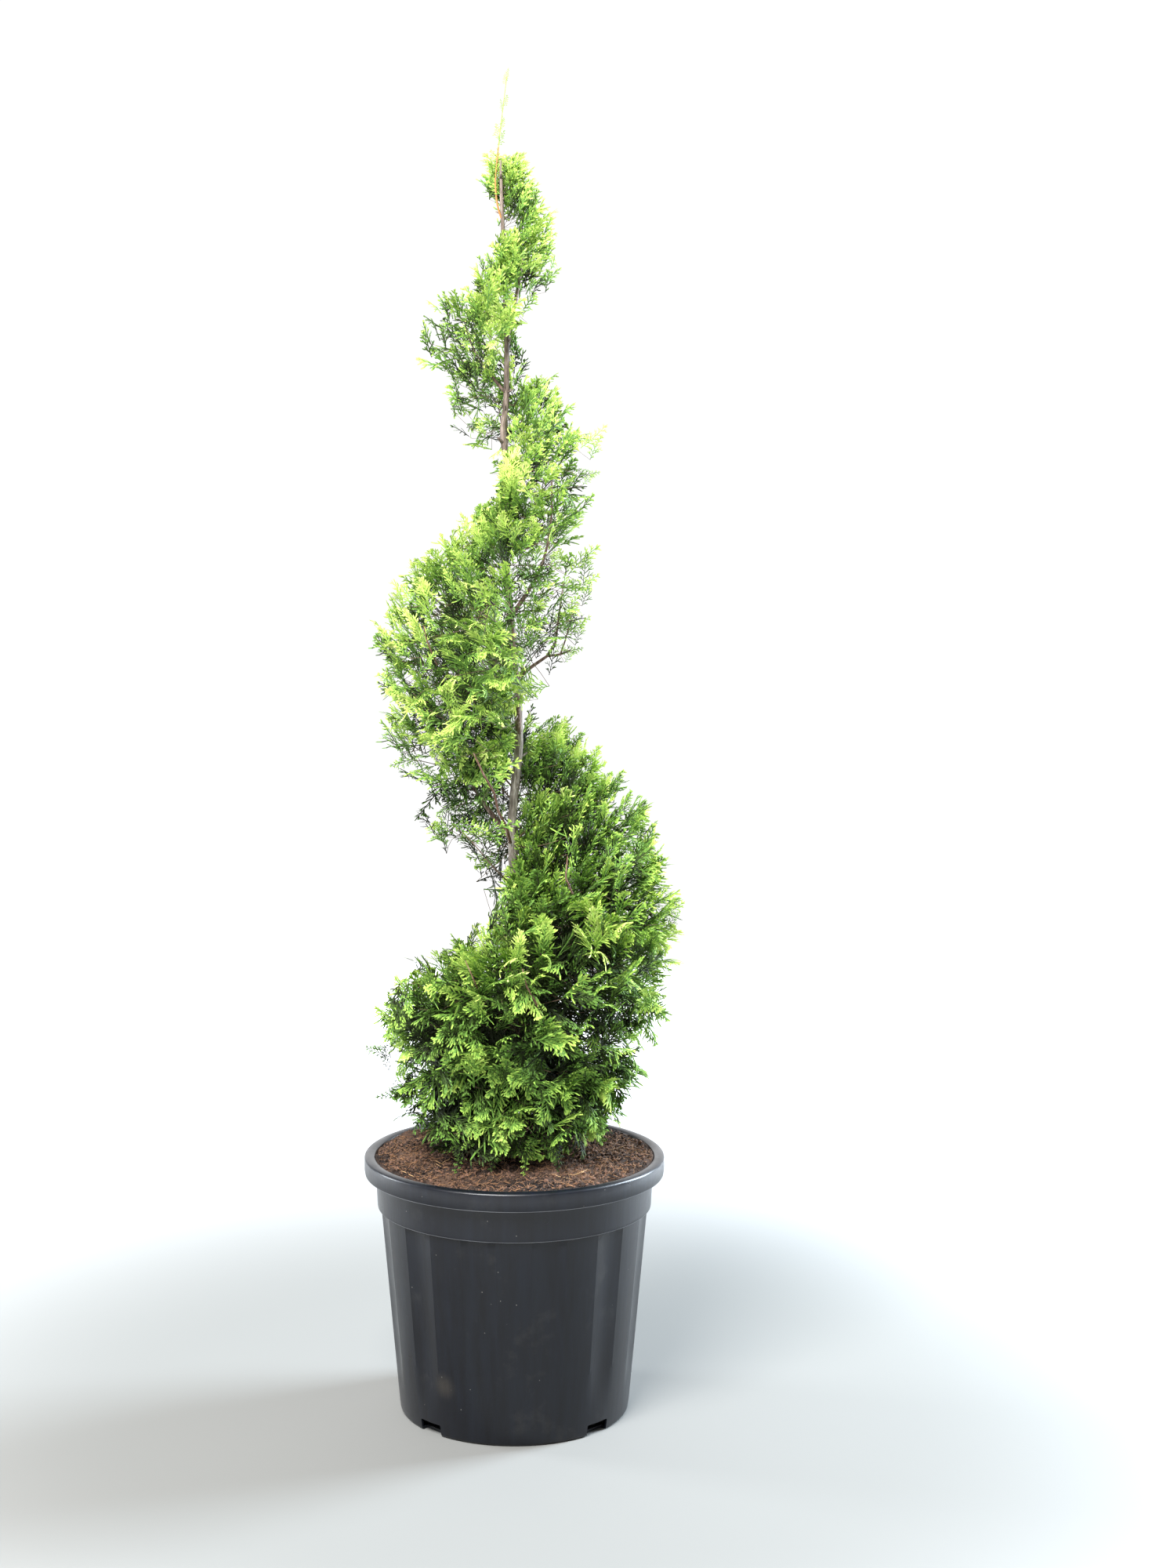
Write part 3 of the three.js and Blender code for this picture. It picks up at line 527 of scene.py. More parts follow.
ROOT_FLARE = {"swell": 7 * MM, "fade": 22 * MM}
BEND_EASE = 14 * MM
BARK_RIDGE = 1.3 * MM  # depth of the bark's ridges at the foot
BARK_STRING = 34 * MM  # length of the bark's strings, of its flakes, and the spacing of its knots
BARK_FLAKE = 9 * MM
BARK_KNOT = 26 * MM
KNOT_SWELL = 4 * MM
PLANTED = 12 * MM  # how far the foot goes down into the peat
STUB_STRETCHES = [(0.66, 0.90, 13), (1.12, 1.36, 13), (1.38, 1.51, 8)]  # from, to and count
STUB_LENGTH = (2, 9)  # mm beyond the trunk's face
STUB_RADIUS = (0.7, 1.7)  # mm, before the trunk's own size is taken into account
TRUNK_TINTS = [  # how the bark's colour changes along the trunk: blend, colour, heights and how far
    ("MIX", "#241a13", 0.72, 0.52, 0.75),  # painted shade: darker low down, where the crown shades the trunk
    ("MULTIPLY", "#a3847a", 0.95, 1.15, 0.6),  # darker and warmer from 0.95 m up
]


def axis(height):
    """Centre of the trunk at a height, also the axis that the crown winds round."""
    return Vector((along(TRUNK_BENDS, height, 1), along(TRUNK_BENDS, height, 2), height))


def trunk_radius(height):
    share = min(max((height - TRUNK_FOOT) / (TRUNK_TIP - TRUNK_FOOT), 0), 1)
    flare = ROOT_FLARE["swell"] * math.exp(-max(height - TRUNK_FOOT, 0) / ROOT_FLARE["fade"])
    return mix(*TRUNK_RADIUS, share) + flare


def smooth_axis(height):
    """The trunk's own centre line: the axis with its bends eased."""
    return (axis(height - BEND_EASE) + axis(height) * 2 + axis(height + BEND_EASE)) / 4


def trunk_shape():
    """A rod of unit radius and height, drawn out along the centre line with strings, flakes and knots."""
    profile = [(0, 0)] + [(1, i / TRUNK_ROWS) for i in range(TRUNK_ROWS + 1)] + [(0, 1)]
    shape = turned(profile, TRUNK_SIDES)
    for corner in shape.verts:
        x, y, share = corner.co
        height = mix(TRUNK_FOOT - PLANTED, TRUNK_TIP, share)
        radius = trunk_radius(height)
        size = radius / TRUNK_RADIUS[0]
        around = Vector((x * 4.2, y * 4.2, height / BARK_STRING))
        strings = noise.fractal(around + Vector((0, 0, 3)), 0.8, 2.1, 4)
        flakes = noise.noise(Vector((x * 9, y * 9, height / BARK_FLAKE)))
        knots = max(noise.noise(Vector((x * 0.9, y * 0.9, height / BARK_KNOT))) - 0.35, 0)
        relief = BARK_RIDGE * size * (0.55 * strings + 0.28 * flakes) + KNOT_SWELL * size * knots
        slim = mix(*TRUNK_SLIM["share"], smoothstep(height, *TRUNK_SLIM["heights"]))
        corner.co = smooth_axis(height) + Vector((x, y, 0)) * (slim * radius + relief)
        corner.co.z = height
    return shape


def pruning_stubs(draw):
    """Short cut stubs of side twigs on the bare stretches of the trunk."""
    parts = []
    for low, high, count in STUB_STRETCHES:
        for i in range(count):
            height = mix(low, high, (i + draw.random()) / count)
            angle = draw.uniform(0, 2 * math.pi)
            out = Vector((math.cos(angle), math.sin(angle), draw.uniform(0.2, 1.1))).normalized()
            radius = draw.uniform(*STUB_RADIUS) * MM * (0.55 + trunk_radius(height) / TRUNK_RADIUS[0])
            foot = smooth_axis(height) + out * trunk_radius(height) * 0.5
            length = trunk_radius(height) * 0.5 + draw.uniform(*STUB_LENGTH) * MM
            points = [foot + out * length * share for share in (0, 0.5, 0.8, 1)]
            parts.append(limb(points, [radius * 1.5, radius * 1.15, radius, radius * 0.92], 7, 0.2, draw))
    return parts


def stringy_bark(name, dark, middle, pale, grain, tints=()):
    """Conifer bark, dry outside and a few millimetres in grain: the eye sees matt strings along the stem
    with darker splits between them. Its tints change its colour with height."""
    material, tree, shader = new_material(name, Roughness=0.88, Metallic=0, IOR=1.45)
    place = add_node(tree, "ShaderNodeTexCoord").outputs["Object"]
    tall = add_node(tree, "ShaderNodeMapping", {"Scale": (1, 1, 0.16)}, {"Vector": place})
    strings = add_node(tree, "ShaderNodeTexNoise", {"Scale": 1 / grain, "Detail": 5, "Roughness": 0.65},
                       {"Vector": tall.outputs[0]})
    patches = add_node(tree, "ShaderNodeTexNoise", {"Scale": 1 / (38 * MM), "Detail": 3}, {"Vector": place})
    tone = add_node(tree, "ShaderNodeMath", {"operation": "MULTIPLY_ADD", 1: 0.45},
                    {0: patches.outputs["Fac"], 2: strings.outputs["Fac"]})
    colour = ramp(tree, tone.outputs[0], [(0.5, dark), (0.72, middle), (0.92, pale)])
    splits = add_node(tree, "ShaderNodeBump", {"Strength": 0.7, "Distance": 0.8 * MM},
                      {"Height": strings.outputs["Fac"]})
    for blend, tint, start, end, most in tints:
        height = add_node(tree, "ShaderNodeSeparateXYZ", links={0: place}).outputs["Z"]
        share = add_node(tree, "ShaderNodeMapRange", {"From Min": start, "From Max": end, "To Max": most},
                         {"Value": height})
        colour = add_node(tree, "ShaderNodeMixRGB", {"blend_type": blend, "Color2": linear(tint)},
                          {"Fac": share.outputs[0], "Color1": colour}).outputs[0]
    tree.links.new(colour, shader.inputs["Base Color"])
    tree.links.new(splits.outputs[0], shader.inputs["Normal"])
    return material


trunk_bark = stringy_bark("stringy_conifer_bark", "#352b21", "#7d746a", "#b8b1a7", 3.2 * MM, TRUNK_TINTS)
trunk = new_piece("trunk_bark", trunk_shape(), trunk_bark, crease=50)
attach(trunk, "root")
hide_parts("trunk")

cut_draw = random.Random(41)
stubs = joined("pruning_stubs", pruning_stubs(cut_draw), trunk_bark)
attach(stubs, "root")


# ---------------------------------------------------------------- crown rule
# The crown is clipped to one ledge that winds down round the trunk, right-handed. Its outline is a cone
# with a helical groove cut into it; one turn is 360 degrees clockwise seen from above, from +X. It is the
# rule of the solids to within 7 mm, so the foliage grows in the space of each mass's node.
CROWN_CONE = [  # height and radius of the clipped outline
    (0.310, 0.088), (0.330, 0.116), (0.360, 0.138), (0.400, 0.154), (0.440, 0.165), (0.500, 0.189),
    (0.560, 0.193), (0.620, 0.192), (0.700, 0.190), (0.780, 0.172), (0.880, 0.168), (0.940, 0.161),
    (1.000, 0.143), (1.110, 0.122), (1.200, 0.119), (1.300, 0.114), (1.350, 0.095), (1.410, 0.080),
    (1.490, 0.050), (1.535, 0.022),
]
CROWN_LEAN = {"share": 0.14, "from": (0.850, 1.050), "to": (1.330, 1.420)}
CROWN_TOP = 1.532
CROWN_FLOOR = 0.3125
GROOVE_TURNS = (-0.875, 1.875)
GROOVE_HEIGHTS = [1.560, 1.495, 1.440, 1.318, 1.147, 0.874, 0.622, 0.375, 0.130]  # each half turn
GROOVE_FIRST = -1.5
GROOVE_HALF = {"crest": 0.044, "main": 0.100, "widens": (0, 0.35), "fades": (1.58, 1.875)}
ROUNDING = {"top": 0.125, "under": 0.150}
LEDGE_RISE = {"height": 0.020, "turns": (1.1, 1.4)}  # the tips stand higher on the ledge's lowest stretch
PROUD = 0.012  # how far the tips stand out of the clipped face
HANGING = 0.026  # how much further they hang from the ledge's underside
MASS_TURN = 0.25
FIRST_TURN = -1.375
LEVELS = ["crest", "upper", "lower", "foot"]
SIDES = ["back", "right", "front", "left"]
MASS_COUNT = 13
SPLIT = 0.540  # the tall lower right mass has its foot as a mass of its own
SECTION_STEPS = 24
CORE_INSET = 0.034  # how deep under the face the masses' inner growth starts, and its other limits
CORE_SHARE = 0.27
CORE_LOW = 8 * MM
TRUNK_CLEARANCE = 0.016
BOUGH_RISE = 1.25
BOUGH_SINK = 9 * MM
BOUGH_RADIUS = (3.5 * MM, 1.9 * MM)
STEM_RADIUS = (1.9 * MM, 1.2 * MM)


def curve_through(a, b, c, d, u):
    """The place at share u from b to c on a smooth curve that passes through four places."""
    bend = a - b * 2.5 + c * 2 - d * 0.5
    twist = (b - c) * 1.5 + (d - a) * 0.5
    return b + (c - a) * 0.5 * u + bend * u ** 2 + twist * u ** 3


def groove_height(turn):
    """Height of the groove's centre, on a smooth curve through its heights at each half turn."""
    place = (turn - GROOVE_FIRST) / 0.5
    i = min(max(math.floor(place), 1), len(GROOVE_HEIGHTS) - 3)
    return curve_through(*GROOVE_HEIGHTS[i - 1:i + 3], place - i)


def groove_half(turn):
    """Half the groove's width: narrow at the crest, and closing where it runs out at the foot."""
    width = mix(GROOVE_HALF["crest"], GROOVE_HALF["main"], smoothstep(turn, *GROOVE_HALF["widens"]))
    return width * (1 - smoothstep(turn, *GROOVE_HALF["fades"]))


def has_groove(turn):
    return GROOVE_TURNS[0] <= turn <= GROOVE_TURNS[1]


def ledge_floor(turn):
    return groove_height(turn + 1) + groove_half(turn + 1) if has_groove(turn + 1) else CROWN_FLOOR


def ledge_top(turn):
    if not has_groove(turn):
        return CROWN_TOP
    rise = LEDGE_RISE["height"] * smoothstep(turn, *LEDGE_RISE["turns"])
    return groove_height(turn) - groove_half(turn) + rise


def reach(turn, height, proud=0.0, hanging=0.0):
    """How far the clipped crown reaches from its axis at a turn and height, with foliage that stands proud
    of its face all round or hangs from its underside."""
    inward = 0
    if has_groove(turn):
        inward = 1 - (ledge_top(turn) - height + proud) / ROUNDING["top"]
    if has_groove(turn + 1):
        inward = max(inward, 1 - (height - ledge_floor(turn) + proud + hanging) / ROUNDING["under"])
    inward = min(max(inward, 0), 1)
    leaning = smoothstep(height, *CROWN_LEAN["from"]) * (1 - smoothstep(height, *CROWN_LEAN["to"]))
    lean = 1 - CROWN_LEAN["share"] * leaning * math.cos(2 * math.pi * turn)
    return (along(CROWN_CONE, height) * lean + proud) * math.sqrt(1 - inward * inward)


def outward(turn):
    """The level direction out from the axis at a turn."""
    return Vector((math.cos(-2 * math.pi * turn), math.sin(-2 * math.pi * turn), 0))


def crown_point(turn, radius, height):
    return axis(height) + outward(turn) * radius


def crown_place(point, near_turn):
    """Turn and radius of a point, taking the turn that is nearest to a given one."""
    centre = axis(point.z)
    turn = -math.atan2(point.y - centre.y, point.x - centre.x) / (2 * math.pi)
    return turn + round(near_turn - turn), math.hypot(point.x - centre.x, point.y - centre.y)


def mass_list():
    """The masses from the crest down, a quarter of a turn to each, as the solids are named."""
    masses = []
    for i in range(MASS_COUNT):
        start = FIRST_TURN + i * MASS_TURN
        mass = {"name": f"{LEVELS[i // 4]}_{SIDES[i % 4]}", "level": LEVELS[i // 4], "from": start,
                "to": start + MASS_TURN, "low": CROWN_FLOOR, "high": CROWN_TOP, "seed": 200 + i}
        if mass["name"] == "lower_right":
            masses.append({**mass, "low": SPLIT})
            masses.append({**mass, "name": "foot_right", "level": "foot", "high": SPLIT, "seed": 250})
        else:
            masses.append(mass)
    return masses


def span(mass, turn):
    """Lowest and highest foliage of a mass at a turn."""
    return max(mass["low"], ledge_floor(turn)), min(mass["high"], ledge_top(turn))


def section_outline(mass, turn):
    """Outline of a mass's section, from its underside out and up to its top, as radius and height."""
    low, high = span(mass, turn)
    heights = [mix(low, high, i / SECTION_STEPS) for i in range(SECTION_STEPS + 1)]
    return [(max(reach(turn, height), trunk_radius(height) + 4 * MM), height) for height in heights]


def section_face(outline, share):
    """Place and outward direction on a section's face at a share of its length."""
    runs = [math.dist(a, b) for a, b in zip(outline, outline[1:])]
    wanted = share * sum(runs)
    i = 0
    while i < len(runs) - 1 and wanted > runs[i]:
        wanted -= runs[i]
        i += 1
    (r0, z0), (r1, z1) = outline[i], outline[i + 1]
    part = wanted / runs[i]
    return mix(r0, r1, part), mix(z0, z1, part), (z1 - z0) / runs[i], -(r1 - r0) / runs[i]


def core_inset(mass, turn):
    """How far a mass's inner growth stays back from its face and from its underside."""
    low, high = span(mass, turn)
    face = min(CORE_INSET, CORE_SHARE * (high - low))
    if mass["low"] > CROWN_FLOOR:
        return face, 1 * MM
    return face, face if has_groove(turn + 1) else CORE_LOW


def bough_route(mass):
    """Where a mass's bough starts on the trunk, where it enters the mass, and where its stem goes on to."""
    turn = (mass["from"] + mass["to"]) / 2
    low, high = span(mass, turn)
    face, under = core_inset(mass, turn)
    from_below = has_groove(turn + 1) and mass["low"] < ledge_floor(turn)
    end_height = low + under - BOUGH_SINK if from_below else mix(low, high, 0.4)
    clear = trunk_radius(end_height) + TRUNK_CLEARANCE
    core_edge = max(reach(turn, end_height + BOUGH_SINK) - face, clear)
    end_radius = mix(clear, core_edge, 0.45) if from_below else clear - 8 * MM
    middle = mix(low, high, 0.5)
    goal = crown_point(turn, max(end_radius + 14 * MM, 0.5 * reach(turn, middle)), middle)
    return axis(end_height - end_radius * BOUGH_RISE), crown_point(turn, end_radius, end_height), goal


def curve_points(start, bend, end, count):
    """Points along a curve from start to end that is drawn towards a bend."""
    return [start.lerp(bend, t).lerp(bend.lerp(end, t), t) for t in (i / (count - 1) for i in range(count))]


# ---------------------------------------------------------------- foliage sprays
# Flat ferny sprays of a golden-green garden conifer, each rooted on a twig. A spray is a rib with
# alternate fingers swept forward, the longer ones forked; each finger is covered in tiny pressed scale
# leaves, so it reads as a blunt blade about two millimetres wide, lime at the tips and dark green inside.
SHOOT_WIDTH = 2.4 * MM
SHOOT_RIDGE = 0.24  # height of a shoot's ridge, as a share of its width
# Each kind of spray: its length, its longest finger as a share of that, its fingers' angle and pitch, the
# share of them that fork, and how many shapes there are of it.
SPRAY_TERMS = ("name", "length", "side", "angle", "pitch", "forked", "count")
SPRAY_KINDS = [dict(zip(SPRAY_TERMS, row)) for row in (
    ("feather", 66 * MM, 0.47, 38, 3.7 * MM, 0.85, 10),
    ("plume", 78 * MM, 0.35, 32, 3.7 * MM, 0.5, 7),
    ("lace", 74 * MM, 0.34, 47, 5.6 * MM, 1.0, 6),
    ("hand", 46 * MM, 0.54, 37, 3.5 * MM, 1.0, 8),
    ("sprig", 37 * MM, 0.42, 41, 4.3 * MM, 0.8, 9),
)]
KNEE = 0.55  # where a finger bends forward, as a share of its length
FINGERS_FROM = 0.06  # places on the rib of the first and the last side finger
FINGERS_TO = 0.96
FINGER_LEAST = 4.5 * MM
FORK_LEAST = 9 * MM  # fingers longer than this may fork
FORKS = [((0.25, 0.45), -1), ((0.5, 0.65), 1)]  # place on the finger and side of its two buds
RIB = [(0, 0.9 * MM), (0.3, 0.85 * MM), (0.6, 0.8 * MM), (0.95, 0.6 * MM)]  # place and radius
LAYERS = {"old": -0.9, "middle": 0.1, "young": 1.15}  # parts of a spray, and how far each one's tone is moved
SPRAYS_PER_AREA = 4050  # to each square metre of the clipped face
SPRAY_SCALE = (0.62, 1.0)
FULL_RADIUS = 0.070  # where the crown is slimmer than this, its sprays are smaller and closer
SLIMMEST = 0.6
SLIM_SCALE = 0.66


def shoot_arrays():
    """The parts of a finger, of unit length and width along X, as arrays: a ridged stalk, a ridged tip with
    its end rounded off, and a flat blade for fingers that are out of sight."""
    parts = {}
    for name in ("stalk", "tip"):
        shape = bmesh.new()
        bmesh.ops.create_grid(shape, x_segments=1, y_segments=2, size=0.5)
        for corner in shape.verts:
            far = corner.co.x > 0
            middle = abs(corner.co.y) < 0.1
            corner.co.z = SHOOT_RIDGE if middle else 0
            corner.co.x += 0.5
            if name == "stalk" and not far:
                corner.co.y *= 0.75
            if name == "tip" and far:
                corner.co = (1, 0, 0) if middle else (0.72, corner.co.y * 0.88, 0)
        parts[name] = triangle_arrays(shape)
    shape = bmesh.new()
    bmesh.ops.create_circle(shape, cap_ends=True, segments=4, radius=0.5)
    for corner in shape.verts:
        corner.co.x += 0.5 + (0.2 if abs(corner.co.y) > 0.4 else 0.0)
    parts["blade"] = triangle_arrays(shape)
    return parts


SHOOTS = shoot_arrays()


def spray_template(kind, draw, plump):
    """A spray along X, nearly flat in XY, as arrays for each of its layers."""
    length = kind["length"]
    layers = {name: [] for name in LAYERS}
    sway = draw.uniform(-0.2, 0.2)
    droop = draw.uniform(0.0, 0.26)
    cup = draw.uniform(0.4, 2.0)

    def curved(point):
        share = point.x / length
        bend = Vector((0, sway, -droop)) * length * share ** 2
        return point + bend - Vector((0, 0, cup * point.y ** 2 / length))

    def part(name, root, run, width, roll, layer):
        """Adds a part of a finger from a root along a run, both in the flat spray's own plane."""
        start, end = curved(root), curved(root + run)
        along_x = (end - start).normalized()
        across = Matrix.Rotation(roll, 3, along_x) @ Vector((0, 0, 1)).cross(along_x).normalized()
        corners, faces = SHOOTS[name]
        rows = np.array([end - start, across * width, along_x.cross(across) * width])
        layers[layer].append((corners @ rows + np.array(start), faces))

    def finger(root, angle, tilt, size, width, share):
        """Adds a finger that bends forward at its knee. Share is the place on the rib, which sets its age."""
        first = Vector((math.cos(angle), math.sin(angle), tilt)) * size * KNEE
        onward = Vector((math.cos(angle * 0.72), math.sin(angle * 0.72), tilt)) * size * (1 - KNEE)
        old = share < 0.5
        roll = draw.gauss(0, 0.3)
        if plump:
            part("stalk", root, first, width, roll, "old" if old else "middle")
            part("tip", root + first * 0.96, onward, width, roll, "middle" if old else "young")
        else:
            part("blade", root, first + onward, width * 1.1, roll, "old" if old else "middle")
        return first

    x = length * FINGERS_FROM
    side = draw.choice((-1, 1))
    while x < length * FINGERS_TO:
        share = x / length
        fullness = min(share / 0.24 + 0.15, 1) * (1 - share) ** 0.72
        size = length * kind["side"] * fullness * draw.uniform(0.6, 1.2) + FINGER_LEAST
        angle = side * math.radians(kind["angle"] * draw.uniform(0.76, 1.2) * (1.1 - 0.35 * share))
        tilt = draw.gauss(0, 0.13)
        width = SHOOT_WIDTH * draw.uniform(0.82, 1.08) * mix(0.88, 1.12, share)
        first = finger(Vector((x, 0, 0)), angle, tilt, size, width, share)
        if size > FORK_LEAST and draw.random() < kind["forked"]:
            places = [draw.uniform(*between) for between, _ in FORKS]
            for place, (_, flip) in zip(places, FORKS):
                bud = Vector((x, 0, 0)) + first * (place / KNEE)
                heading = angle + flip * side * math.radians(draw.uniform(26, 44))
                bud_size = size * draw.uniform(0.32, 0.55) + 1.4 * MM
                finger(bud, heading, tilt, bud_size, width * 0.92, share + 0.15)
        side = -side
        x += kind["pitch"] * draw.uniform(0.8, 1.2)
    finger(Vector((length * 0.93, 0, 0)), 0.0, 0, length * 0.08 + 2 * MM, SHOOT_WIDTH * 1.1, 1)
    rib = [curved(Vector((length * place, 0, 0))) for place, _ in RIB]
    layers["old"].append(limb(rib, [radius for _, radius in RIB], 3))
    return {name: merged(parts) for name, parts in layers.items() if parts}


def merged(parts):
    """Several parts as one pair of arrays."""
    starts = np.cumsum([0] + [len(corners) for corners, _ in parts[:-1]])
    faces = [faces + start for (_, faces), start in zip(parts, starts)]
    return np.concatenate([corners for corners, _ in parts]), np.concatenate(faces)


template_draw = random.Random(77)
templates = []
for kind in SPRAY_KINDS:
    for _ in range(kind["count"]):
        state = template_draw.getstate()
        full = spray_template(kind, template_draw, True)
        template_draw.setstate(state)
        plain = spray_template(kind, template_draw, False)
        templates.append({"full": full, "plain": plain, "length": kind["length"], "kind": kind["name"]})


WING_PLACE = 0.66  # where along a spray its fingers reach out furthest, as a share of its length
WING_REACH = 0.24  # and how far to each side
HOLLOW_DEPTH = (15 * MM, 13 * MM)  # at the foot and higher up
HOLLOW_SIZE = 42 * MM


def templates_of(*kinds):
    """The spray templates of some kinds."""
    return [template for template in templates if template["kind"] in kinds]


TIP_TEMPLATES = templates_of("feather", "hand")
INNER_TEMPLATES = templates_of("feather", "plume")
LACE_TEMPLATES = templates_of("lace")
SPRIG_TEMPLATES = templates_of("sprig")
TIP_LAYER = 0.3  # share of the sprays that show on the face
FACE_LAYER = 0.4  # share of them that end at most 12 mm under it
FACE_SPREAD = 0.03
CORE_DEPTH = 0.1
SPRIG_HEIGHTS = (0.85, 1.25)  # no spray is a short sprig below the first, and all are above the second
SPRIG_SCALE = (0.66, 1.0)
HEIGHT_SCALE = {"share": (1.1, 0.8), "heights": (0.45, 1.0)}  # the other sprays are smaller higher up
HEIGHT_FILL = {"share": (1.06, 1.35), "heights": (0.5, 1.0)}  # and there are more of them
CREST_THINNING = {"share": 0.16, "heights": (1.1, 1.3)}  # share of the sprays left out high up
TRIES = 14  # places tried for each spray
TURN_STEP = 0.618  # golden section, which spreads the sprays evenly round a mass
SPRAY_SWING = 0.5  # how far the sprays swing round the trunk, and roll about their own ribs
SPRAY_ROLL = 0.65
SPRAY_FLOOR = 0.321  # no spray's rib goes lower, to stay clear of the peat
LACE_SHARE = 1.6
LACE_TONE = -0.9  # open sprays are old growth, and darker
LEANING = [  # height, and the least and most that sprays lean up there
    (0.36, -1.1, 0.6), (0.62, -0.1, 1.2), (1.15, 0.1, 1.4), (1.40, 0.6, 2.2),
]
THIN_PLACES = [  # turn, height, half width in turns, half height and how much of the foliage is missing
    (0.04, 1.00, 0.16, 0.12, 0.68), (0.60, 0.75, 0.16, 0.09, 0.5), (-0.42, 1.19, 0.12, 0.05, 0.35),
    (-1.34, 1.44, 0.18, 0.05, 1.3), (-0.60, 1.46, 0.18, 0.07, 1.3), (1.60, 0.36, 0.12, 0.04, 0.4),
    (0.17, 0.88, 0.09, 0.07, 1.1), (0.68, 0.64, 0.10, 0.07, 1.2), (-0.12, 1.30, 0.12, 0.035, 1.2),
    (-0.93, 1.34, 0.12, 0.04, 0.9), (0.05, 1.13, 0.14, 0.05, 0.35), (0.82, 0.885, 0.10, 0.05, 1.3),
    (0.56, 0.76, 0.07, 0.05, 1.0), (-0.30, 1.13, 0.12, 0.05, 1.3),
    (1.31, 0.635, 0.06, 0.045, 1.2), (-0.50, 1.385, 0.10, 0.03, 0.8),
]
TONED_PLACES = [  # turn, height, half width in turns, half height and how much the tone is raised there (lowered where negative)
    (-0.50, 1.29, 0.16, 0.09, -0.9), (0.33, 0.88, 0.12, 0.10, 0.7), (0.57, 0.78, 0.15, 0.09, -0.5),
    (1.00, 0.67, 0.17, 0.11, -0.4), (0.05, 1.16, 0.16, 0.10, -0.4), (0.50, 0.91, 0.11, 0.07, -0.6),
    (1.02, 0.78, 0.15, 0.08, -1.1), (1.23, 0.69, 0.08, 0.05, -1.1),
]


def at_place(places, turn, height):
    """The amount that a list of places gives at a turn and height, fading out at each place's edge."""
    amount = 0
    for place, centre, half_turn, half_height, most in places:
        off = math.hypot((turn - place) / half_turn, (height - centre) / half_height)
        here = most * (1 - smoothstep(off, 0.5, 1.2))
        amount = here if abs(here) > abs(amount) else amount
    return amount


def hollow(point):
    """How far the foliage lies back at a place on the clipped face, between the clumps that make it."""
    depth = mix(*HOLLOW_DEPTH, smoothstep(point.z, 0.45, 0.85))
    return depth * smoothstep(noise.noise(point / HOLLOW_SIZE), 0.06, 0.46)


def layer_depth(layer, radius):
    """How deep under the face a spray ends: some within 12 mm of it, the others spread down to the core."""
    if layer < FACE_LAYER:
        return layer * FACE_SPREAD
    return (layer - 0.36) / 0.62 * min(0.6 * radius, CORE_DEPTH)


def spray_choice(draw, height, layer, lacy, slim):
    """A spray's template and scale: open or full by its place, and a short blunt sprig high up."""
    full = TIP_TEMPLATES if layer < TIP_LAYER else INNER_TEMPLATES
    template = draw.choice(LACE_TEMPLATES if lacy else full)
    scale = draw.uniform(*SPRAY_SCALE) * mix(SLIM_SCALE, 1, (slim - SLIMMEST) / (1 - SLIMMEST))
    scale *= mix(*HEIGHT_SCALE["share"], smoothstep(height, *HEIGHT_SCALE["heights"]))
    if height > draw.uniform(*SPRIG_HEIGHTS):
        return draw.choice(SPRIG_TEMPLATES), draw.uniform(*SPRIG_SCALE)
    return template, scale


def mass_sprays(mass):
    """Sprays of a mass: each reaches the clipped face or a layer under it, and is rooted deeper inside."""
    draw = random.Random(mass["seed"])
    outline = section_outline(mass, (mass["from"] + mass["to"]) / 2)
    mean_radius = sum(radius for radius, _ in outline) / len(outline)
    mean_height = sum(height for _, height in outline) / len(outline)
    run = sum(math.dist(a, b) for a, b in zip(outline, outline[1:]))
    slim = min(max(mean_radius / FULL_RADIUS, SLIMMEST), 1)
    area = run * mean_radius * 2 * math.pi * MASS_TURN
    area *= mix(*HEIGHT_FILL["share"], smoothstep(mean_height, *HEIGHT_FILL["heights"]))
    count = math.ceil(area * SPRAYS_PER_AREA / slim ** 2)
    sprays = []
    for i in range(count):
        missing = draw.random()
        for _ in range(TRIES):
            turn = mix(mass["from"], mass["to"], ((i * TURN_STEP + 0.35 * draw.random()) % 1))
            radius, height, nr, nz = section_face(section_outline(mass, turn), (i + draw.random()) / count)
            face = crown_point(turn, radius, height)
            layer = draw.random()
            depth = min(layer_depth(layer, radius) + hollow(face), 0.75 * radius)
            out = outward(turn) * nr + Vector((0, 0, nz))
            lean = draw.uniform(along(LEANING, height), along(LEANING, height, 2))
            around = Vector((0, 0, 1)).cross(outward(turn))
            direction = out * draw.uniform(0.35, 1) + Vector((0, 0, lean))
            direction = (direction + around * draw.gauss(0, SPRAY_SWING)).normalized()
            airy = at_place(THIN_PLACES, turn, height)
            lacy = draw.random() < LACE_SHARE * airy
            template, scale = spray_choice(draw, height, layer, lacy, slim)
            length = template["length"] * scale
            beyond = draw.uniform(-8, mix(9, 34, max(-nz * 2 - 0.6, 0))) * MM  # the underside hangs shaggier
            tip = face + out * (beyond - depth)
            root = tip - direction * length
            if missing < airy + CREST_THINNING["share"] * smoothstep(height, *CREST_THINNING["heights"]):
                break
            across = around - direction * around.dot(direction)
            across = Matrix.Rotation(draw.gauss(0, SPRAY_ROLL), 3, direction) @ across.normalized()
            if direction.cross(across).z < 0:
                across = -across
            broadest = root.lerp(tip, WING_PLACE)
            wing = across * WING_REACH * length
            if is_open(mass, [tip, root.lerp(tip, 0.5), root, broadest + wing, broadest - wing]):
                sprays.append({"root": root, "direction": direction, "across": across, "scale": scale,
                               "template": template, "depth": depth, "height": height, "up": nz,
                               "shift": at_place(TONED_PLACES, turn, height) + (LACE_TONE if lacy else 0),
                               "chance": draw.gauss(0, 1)})
                break
    return sprays


